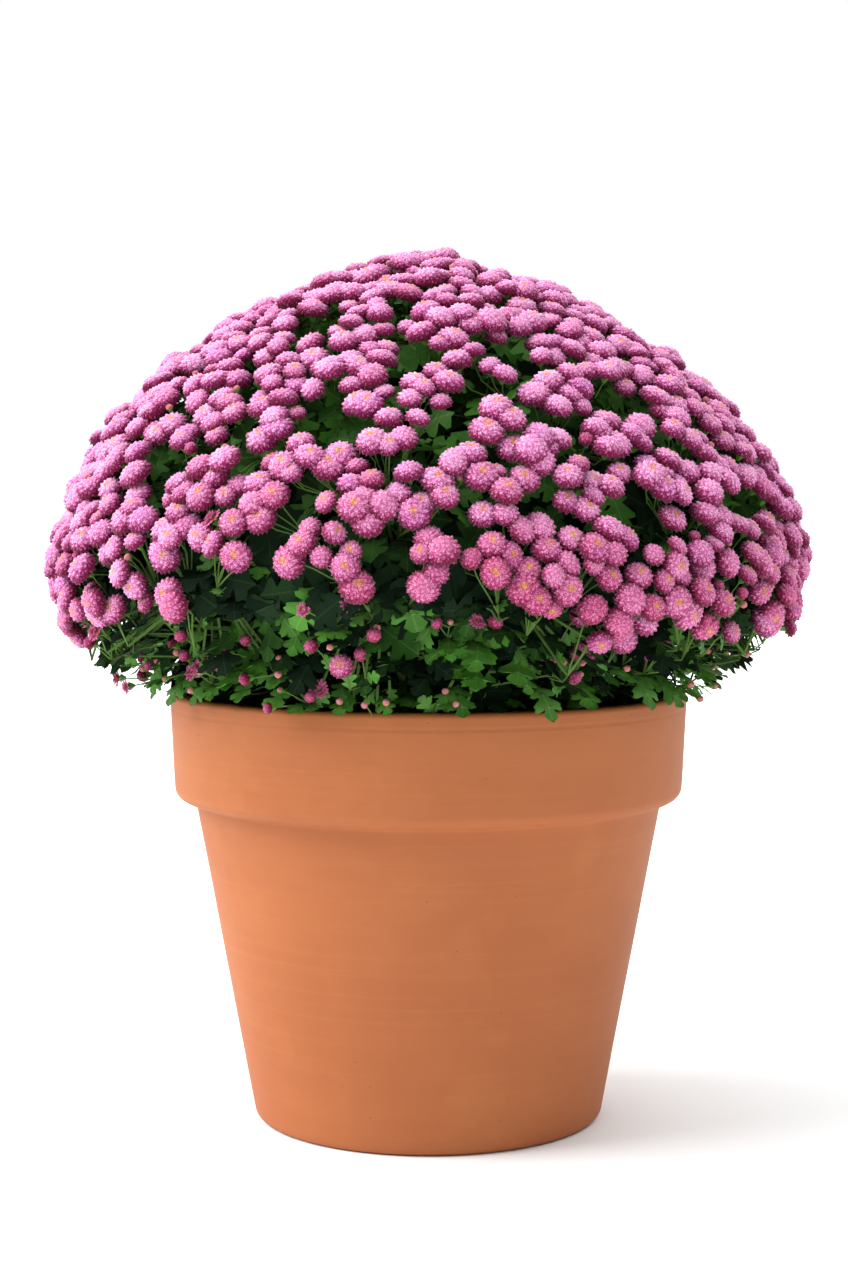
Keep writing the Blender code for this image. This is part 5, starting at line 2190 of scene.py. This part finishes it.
@dataclass
class Greenery:
    """The green parts of one spray: its stem with forks, stalks, cups and leaves.

    A stem or stalk has two radii, at its start and at its end, and a share from 0 to 1 of its
    yellow-green stalk colour; the rest is the near-black painted shade of the foliage.
    """

    book: PatternBook
    stem: Span = (0.0034, 0.0024)
    stem_lit: float = 0.85
    branch: Span = (0.0016, 0.0011)
    branch_lit: float = 0.36
    shoot_lit: float = 0.26
    flower_stalk: Span = (0.00066, 0.00058)
    flower_stalk_lit: float = 0.55
    leaf_stalk: Span = (0.0007, 0.00055)
    leaf_stalk_lit: float = 0.24
    cup: float = 0.0036
    bud_cup: float = 0.0026
    cup_depth: float = 0.003
    growth: Growth = field(default_factory=lambda: Growth(("leaf", "part")))

    def add_stem(self, stem: MainStem) -> None:
        """Add the main stem, woody at its foot.

        Args:
            stem: Its course.
        """
        rise = (stem.bend - stem.foot).normalized()
        ends = (stem.foot, stem.bend + rise * 0.03, stem.bend.lerp(stem.fork, 0.55), stem.fork)
        pattern = self.book.stem
        wood = np.clip(1.0 - 1.6 * pattern.points[:, 2], 0.0, 1.0)
        points = bent_strand(pattern, ends, self.stem)
        self.growth.add(pattern, points, part=columns(self.stem_lit, wood, 0.0))

    def add_strand(
        self, start: Vector, end: Vector, arrive: Vector, radii: Span, green: float,
        strand: Optional[Pattern] = None,
    ) -> None:
        """Add a stalk that leaves straight and arrives from a given direction.

        Args:
            start: Where it leaves its parent.
            end: Where it ends.
            arrive: The way it runs at its end.
            radii: Radius at the start and at the end.
            green: Share of the stalk colour, the rest painted shade.
            strand: The pattern that is bent, the stalk's own unless another is given.
        """
        strand = strand or self.book.strand
        length = (end - start).length
        leave = ((end - start).normalized() + arrive * 0.4).normalized()
        ends = (start, start + leave * length * 0.35, end - arrive * length * 0.38, end)
        points = bent_strand(strand, ends, radii)
        zero = np.zeros((len(points), 3))
        self.growth.add(strand, points, part=zero + (green, 0.0, 0.0))

    def add_branch(self, start: Vector, fork: Vector) -> None:
        """Add a straight branch from the stem's fork to a clump's."""
        run = (fork - start).normalized()
        self.add_strand(start, fork, run, self.branch, self.branch_lit)

    def add_shoot(self, shoot: Shoot) -> None:
        """Add a side shoot that bends outwards.

        Args:
            shoot: Its ends and radii.
        """
        run = shoot.end - shoot.start
        arrive = Vector((run.x, run.y, 0.15 * run.z)).normalized()
        radii = (shoot.thick, shoot.thin)
        self.add_strand(shoot.start, shoot.end, arrive, radii, self.shoot_lit)

    def add_flower_stalk(self, fork: Vector, bloom: Bloom, rng: random.Random) -> None:
        """Add the stalk of a bloom and the green cup under it.

        Args:
            fork: Where the stalk leaves its clump.
            bloom: The bloom it carries.
            rng: Source of the cup's spin.
        """
        seat = bloom.centre - bloom.axis * bloom.kind.seat * bloom.scale
        foot = seat - bloom.axis * self.cup_depth
        self.add_strand(fork, foot, bloom.axis, self.flower_stalk, self.flower_stalk_lit)
        size = self.bud_cup if bloom.kind is BloomKind.BUD else self.cup
        frame = spun_frame(bloom.axis, rng.uniform(0.0, 6.28)) * size
        self.growth.add(self.book.calyx, self.book.calyx.points @ frame + np.array(seat))

    def add_leaf(self, leaf: LeafSeat) -> None:
        """Add a leaf with its stalk.

        Args:
            leaf: Where and how it sits.
        """
        pattern = self.book.leaves[leaf.detail][leaf.form]
        points = pattern.points.astype(float)
        points[:, 2] -= leaf.curl * points[:, 0] ** 2 * 0.5
        arrive = leaf.direction.normalized()
        side = leaf.face.cross(arrive).normalized()
        frame = np.array([arrive, side, arrive.cross(side).normalized()]) * leaf.length
        marks = pattern.marks["leaf"].copy()
        marks[:, 2] = leaf.shade
        self.growth.add(pattern, points @ frame + np.array(leaf.base), leaf=marks)
        end = leaf.base + arrive * 0.1 * leaf.length
        strand = self.book.strand if leaf.detail else self.book.short_strand
        self.add_strand(leaf.root, end, arrive, self.leaf_stalk, self.leaf_stalk_lit, strand)


@dataclass
class SprayBuilder:
    """Builds the two pieces of one spray: its blooms and its leafy stem."""

    plant: Plant
    book: PatternBook
    petals: Coat
    foliage: Coat

    def blooms(self, spray: int) -> Piece:
        """Build the blooms of a spray.

        Args:
            spray: Index of the spray.

        Returns:
            The piece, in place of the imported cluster.
        """
        rng = random.Random(100 + spray)
        growth = Growth(("petal", "age", "spot"))
        for bloom in self.plant.blooms[spray]:
            copy_bloom(growth, rng.choice(self.book.blooms[bloom.kind]), bloom, rng)
        piece = growth.build(f"blooms_{spray + 1:02d}", self.petals)
        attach(piece, BODY)
        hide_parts(f"bloom_cluster_{spray + 1:02d}")
        return piece

    def greens(self, spray: int) -> Piece:
        """Build the stem of a spray, with its forks, stalks, cups and leaves.

        Args:
            spray: Index of the spray.

        Returns:
            The piece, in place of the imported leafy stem.
        """
        rng = random.Random(500 + spray)
        greenery = Greenery(self.book)
        stem = self.plant.rule.stems[spray]
        forks = self.plant.clumps[spray]
        greenery.add_stem(stem)
        for fork in forks:
            greenery.add_branch(stem.fork, fork)
        for shoot in self.plant.shoots[spray]:
            greenery.add_shoot(shoot)
        for bloom in self.plant.blooms[spray]:
            greenery.add_flower_stalk(forks[bloom.clump], bloom, rng)
        for leaf in self.plant.leaves[spray]:
            greenery.add_leaf(leaf)
        piece = greenery.growth.build(f"leafy_stem_{spray + 1:02d}_fine", self.foliage)
        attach(piece, BODY)
        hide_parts(f"leafy_stem_{spray + 1:02d}")
        return piece


# Pot, soil and studio


class Ring(NamedTuple):
    """One ring of the pot's turned outline, and how far its corner is rounded."""

    radius: float
    level: float
    rounding: float = 0.0


@dataclass
class ClayPot:
    """The clay pot: a tapered body under a wide collar.

    Hand turning leaves slow and ringed unevenness; each has a pitch, in waves per metre, and
    a depth.
    """

    rim: float = 0.2
    collar_foot: float = 0.196
    body_top: float = 0.1806
    base: float = 0.1346
    height: float = 0.331
    collar: float = 0.0828
    lip: float = 0.0014
    wall: float = 0.013
    floor: float = 0.016
    drain: float = 0.013
    bed: float = 0.294
    sides: int = 128
    rounding_steps: int = 5
    slow_pitch: float = 9.0
    slow_depth: float = 0.00035
    ring_pitch: float = 95.0
    ring_depth: float = 0.00018
    piece: Piece = field(init=False)

    def inner(self, level: float) -> float:
        """Radius of the inside wall at a height."""
        slope = (self.body_top - self.base) / (self.height - self.collar)
        return self.base + slope * level - self.wall

    def profile(self) -> list[Ring]:
        """Lay out the pot's outline.

        Returns:
            The rings in order, from the drain up the outside and down the inside again.
        """
        step = self.height - self.collar
        return [
            Ring(self.drain, 0.0),
            Ring(self.base, 0.0, 0.006),
            Ring(self.body_top, step, 0.004),
            Ring(self.collar_foot, step + self.lip, 0.008),
            Ring(self.rim, self.height, 0.0042),
            Ring(self.rim - self.wall, self.height, 0.004),
            Ring(self.inner(self.bed), self.bed),
            Ring(self.inner(self.floor), self.floor),
            Ring(self.drain, self.floor),
        ]

    def build(self, material: Coat) -> Piece:
        """Model the pot: rings extruded from the drain hole, corners bevelled, walls divided.

        Args:
            material: The clay.

        Returns:
            The piece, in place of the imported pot.
        """
        rings = self.profile()
        piece = start_disc(self.sides, rings[0].radius, fill="NOTHING")
        piece.name = piece.data.name = "clay_pot"
        for before, after in zip(rings, rings[1:]):
            rise = {"value": (0.0, 0.0, after.level - before.level)}
            bpy.ops.mesh.extrude_edges_move(TRANSFORM_OT_translate=rise)
            spread = after.radius / before.radius
            bpy.ops.transform.resize(value=(spread, spread, 1.0))
        close_mesh()
        self.piece = piece
        self.choose(rings[0], rings[-1])
        bpy.ops.mesh.bridge_edge_loops()
        close_mesh(outwards=True)
        for ring in rings:
            if ring.rounding > 0.0:
                self.choose(ring)
                bpy.ops.mesh.bevel(offset=ring.rounding, segments=self.rounding_steps, profile=0.5)
                close_mesh()
        self.divide_walls()
        smooth(40.0)
        self.hand_turn()
        piece.data.materials.append(material)
        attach(piece, BODY)
        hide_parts("pot")
        return piece

    def choose(self, *rings: Ring) -> None:
        """Open the pot with the edges of some rings selected.

        Args:
            rings: The rings.
        """
        points = places_of(self.piece)
        flat = np.hypot(points[:, 0], points[:, 1])
        chosen = set()
        for ring in rings:
            near = (np.abs(flat - ring.radius) < 1e-4) & (np.abs(points[:, 2] - ring.level) < 1e-4)
            chosen |= {e.index for e in self.piece.data.edges if near[list(e.vertices)].all()}
        select_where(self.piece, "EDGE", lambda index: index in chosen)

    def divide_walls(self) -> None:
        """Cut level rings through the tall walls, so that they can be slightly uneven."""
        for level in np.arange(0.02, self.height - 0.01, 0.018):
            select_where(self.piece, "FACE", lambda index: True)
            bpy.ops.mesh.bisect(plane_co=(0.0, 0.0, level), plane_no=(0.0, 0.0, 1.0))
            close_mesh()

    def hand_turn(self) -> None:
        """Give the walls the slight unevenness of a turned and fired pot."""
        points = places_of(self.piece)
        for index, point in enumerate(points):
            flat = hypot(point[0], point[1])
            if flat < 0.1:
                continue
            slow = noise.noise(Vector(point) * self.slow_pitch) * self.slow_depth
            ring = noise.noise(Vector((0.0, 0.0, point[2] * self.ring_pitch))) * self.ring_depth
            points[index, :2] *= 1.0 + (slow + ring) / flat
        move_points(self.piece, points)


@dataclass
class PottingBed:
    """The crumbly top of the soil inside the pot."""

    level: float = 0.3
    mound: float = 0.004
    edge_drop: float = 0.006
    wall_gap: float = 0.0006
    crumb_pitch: float = 60.0
    crumb_depth: float = 0.0022
    sides: int = 72
    rings: int = 20

    def build(self, pot: ClayPot, material: Coat) -> Piece:
        """Model the bed: a disc extruded ring by ring, closed below, its top roughened.

        Args:
            pot: The pot that holds it.
            material: The compost.

        Returns:
            The piece, in place of the packed soil.
        """
        low, high = pot.floor, self.level - self.edge_drop
        radius_low = pot.inner(low) - self.wall_gap
        radius_high = pot.inner(high) - self.wall_gap
        piece = start_disc(self.sides, radius_low, low, "TRIFAN")
        piece.name = piece.data.name = "soil_bed"
        raise_faces(high - low, radius_high / radius_low)
        for _ in range(self.rings - 1):
            bpy.ops.mesh.inset(thickness=radius_high / self.rings * 0.98, depth=0.0)
        close_mesh(outwards=True)
        points = places_of(piece)
        for index, point in enumerate(points):
            flat = hypot(point[0], point[1])
            if point[2] < high - 0.001 or flat > radius_high - 0.0005:
                continue
            share = 1.0 - (flat / radius_high) ** 2
            crumbs = noise.fractal(Vector(point) * self.crumb_pitch, 0.8, 2.1, 4)
            rise = (self.mound + self.edge_drop) * share + crumbs * self.crumb_depth
            points[index, 2] += rise
        move_points(piece, points)
        hold(piece)
        smooth(50.0)
        piece.data.materials.append(material)
        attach(piece, BODY)
        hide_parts("soil")
        return piece


@dataclass
class Studio:
    """A plain pale floor, soft light from the upper left and the camera.

    The surround is white, dim behind the camera and brighter overhead; each fade says at
    which direction it is 0 and at which it is 1.
    """

    floor_size: float = 60.0
    floor_white: Colour = (0.91, 0.945, 0.955)
    dim: float = 0.12
    overhead: float = 1.4
    right_dim: float = 0.16
    depth_fade: Span = (-0.62, 0.55)
    horizon_fade: Span = (0.16, 0.0)
    right_fade: Span = (0.2, 0.9)
    top_fade: Span = (0.25, 1.0)
    sun_turn: float = radians(-84.0)
    sun_height: float = radians(42.0)
    sun_spread: float = radians(46.0)
    sun_power: float = 3.9
    camera_place: tuple[float, float, float] = (-0.0035, -1.824, 0.4856)
    pitch: float = radians(3.44)
    focal_pixels: float = 2352.0
    frame_height: float = 1264.0
    sensor: float = 36.0

    def build(self) -> None:
        """Set up the floor, the world, the light and the camera."""
        self.lay_floor()
        self.light_world()
        self.add_sun()
        self.place_camera()
        bpy.context.scene.view_settings.view_transform = "Standard"

    def lay_floor(self) -> None:
        """Lay a wide pale plane at height 0."""
        deselect()
        bpy.ops.mesh.primitive_plane_add(size=self.floor_size)
        floor = bpy.context.active_object
        floor.name = "floor"
        bench = Bench("pale_floor")
        bench.dress(Base_Color=self.floor_white, Roughness=0.9, Specular_IOR_Level=0.1)
        floor.data.materials.append(bench.owner)

    def light_world(self) -> None:
        """Light the world with the white surround."""
        world = bpy.data.worlds.new("studio")
        world.use_nodes = True
        bench = Bench("surround", world)
        across, depth, height = bench.axes(bench.node("TexCoord", output="Generated"))
        open_side = depth.step(*self.depth_fade).most(height.step(*self.horizon_fade))
        wall = self.dim + (1.0 - self.dim) * open_side
        wall = wall - across.step(*self.right_fade) * self.right_dim
        power = wall + height.step(*self.top_fade) * self.overhead
        bench.shader.inputs["Color"].default_value = (1.0, 1.0, 1.0, 1.0)
        bench.feed(bench.shader.inputs["Strength"], power)
        bpy.context.scene.world = world

    def add_sun(self) -> None:
        """Add a broad soft light, turned from straight behind the camera to its left."""
        lamp = bpy.data.lights.new("softbox", "SUN")
        lamp.angle = self.sun_spread
        lamp.energy = self.sun_power
        flat = cos(self.sun_height)
        around = (sin(self.sun_turn) * flat, -cos(self.sun_turn) * flat)
        place = Vector((*around, sin(self.sun_height)))
        holder = link("softbox", lamp)
        holder.rotation_euler = (-place).to_track_quat("-Z", "Y").to_euler()
        holder.location = place * 3.0

    def place_camera(self) -> None:
        """Put the camera where the photograph was taken from."""
        lens = bpy.data.cameras.new("camera")
        lens.sensor_width = self.sensor
        lens.lens = self.focal_pixels / self.frame_height * self.sensor
        camera = link("camera", lens)
        camera.location = self.camera_place
        camera.rotation_euler = (0.5 * pi - self.pitch, 0.0, 0.0)
        bpy.context.scene.camera = camera


def report(piece: Piece) -> int:
    """Log a finished piece.

    Args:
        piece: The piece.

    Returns:
        How many triangles it has.
    """
    triangles = sum(len(face.vertices) - 2 for face in piece.data.polygons)
    LOG.info("%s: %d triangles", piece.name, triangles)
    return triangles


def main() -> None:
    """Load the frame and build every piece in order."""
    logging.basicConfig(level=logging.INFO, format="%(name)s: %(message)s")
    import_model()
    Studio().build()
    pot = ClayPot()
    total = report(pot.build(Terracotta().material()))
    total += report(PottingBed().build(pot, PottingSoil().material()))
    plant = Plant(GrowthRule().grow()).grow()
    book = PatternBook().model(plant.full_radius, plant.small_radius)
    builder = SprayBuilder(plant, book, PetalFinish().material(), FoliageFinish().material())
    for spray in range(plant.rule.spray_count):
        total += report(builder.blooms(spray))
        total += report(builder.greens(spray))
    LOG.info("blooms: %d, leaves: %d", sum(map(len, plant.blooms)), sum(map(len, plant.leaves)))
    LOG.info("all pieces: %d triangles", total)


if __name__ == "__main__":
    main()
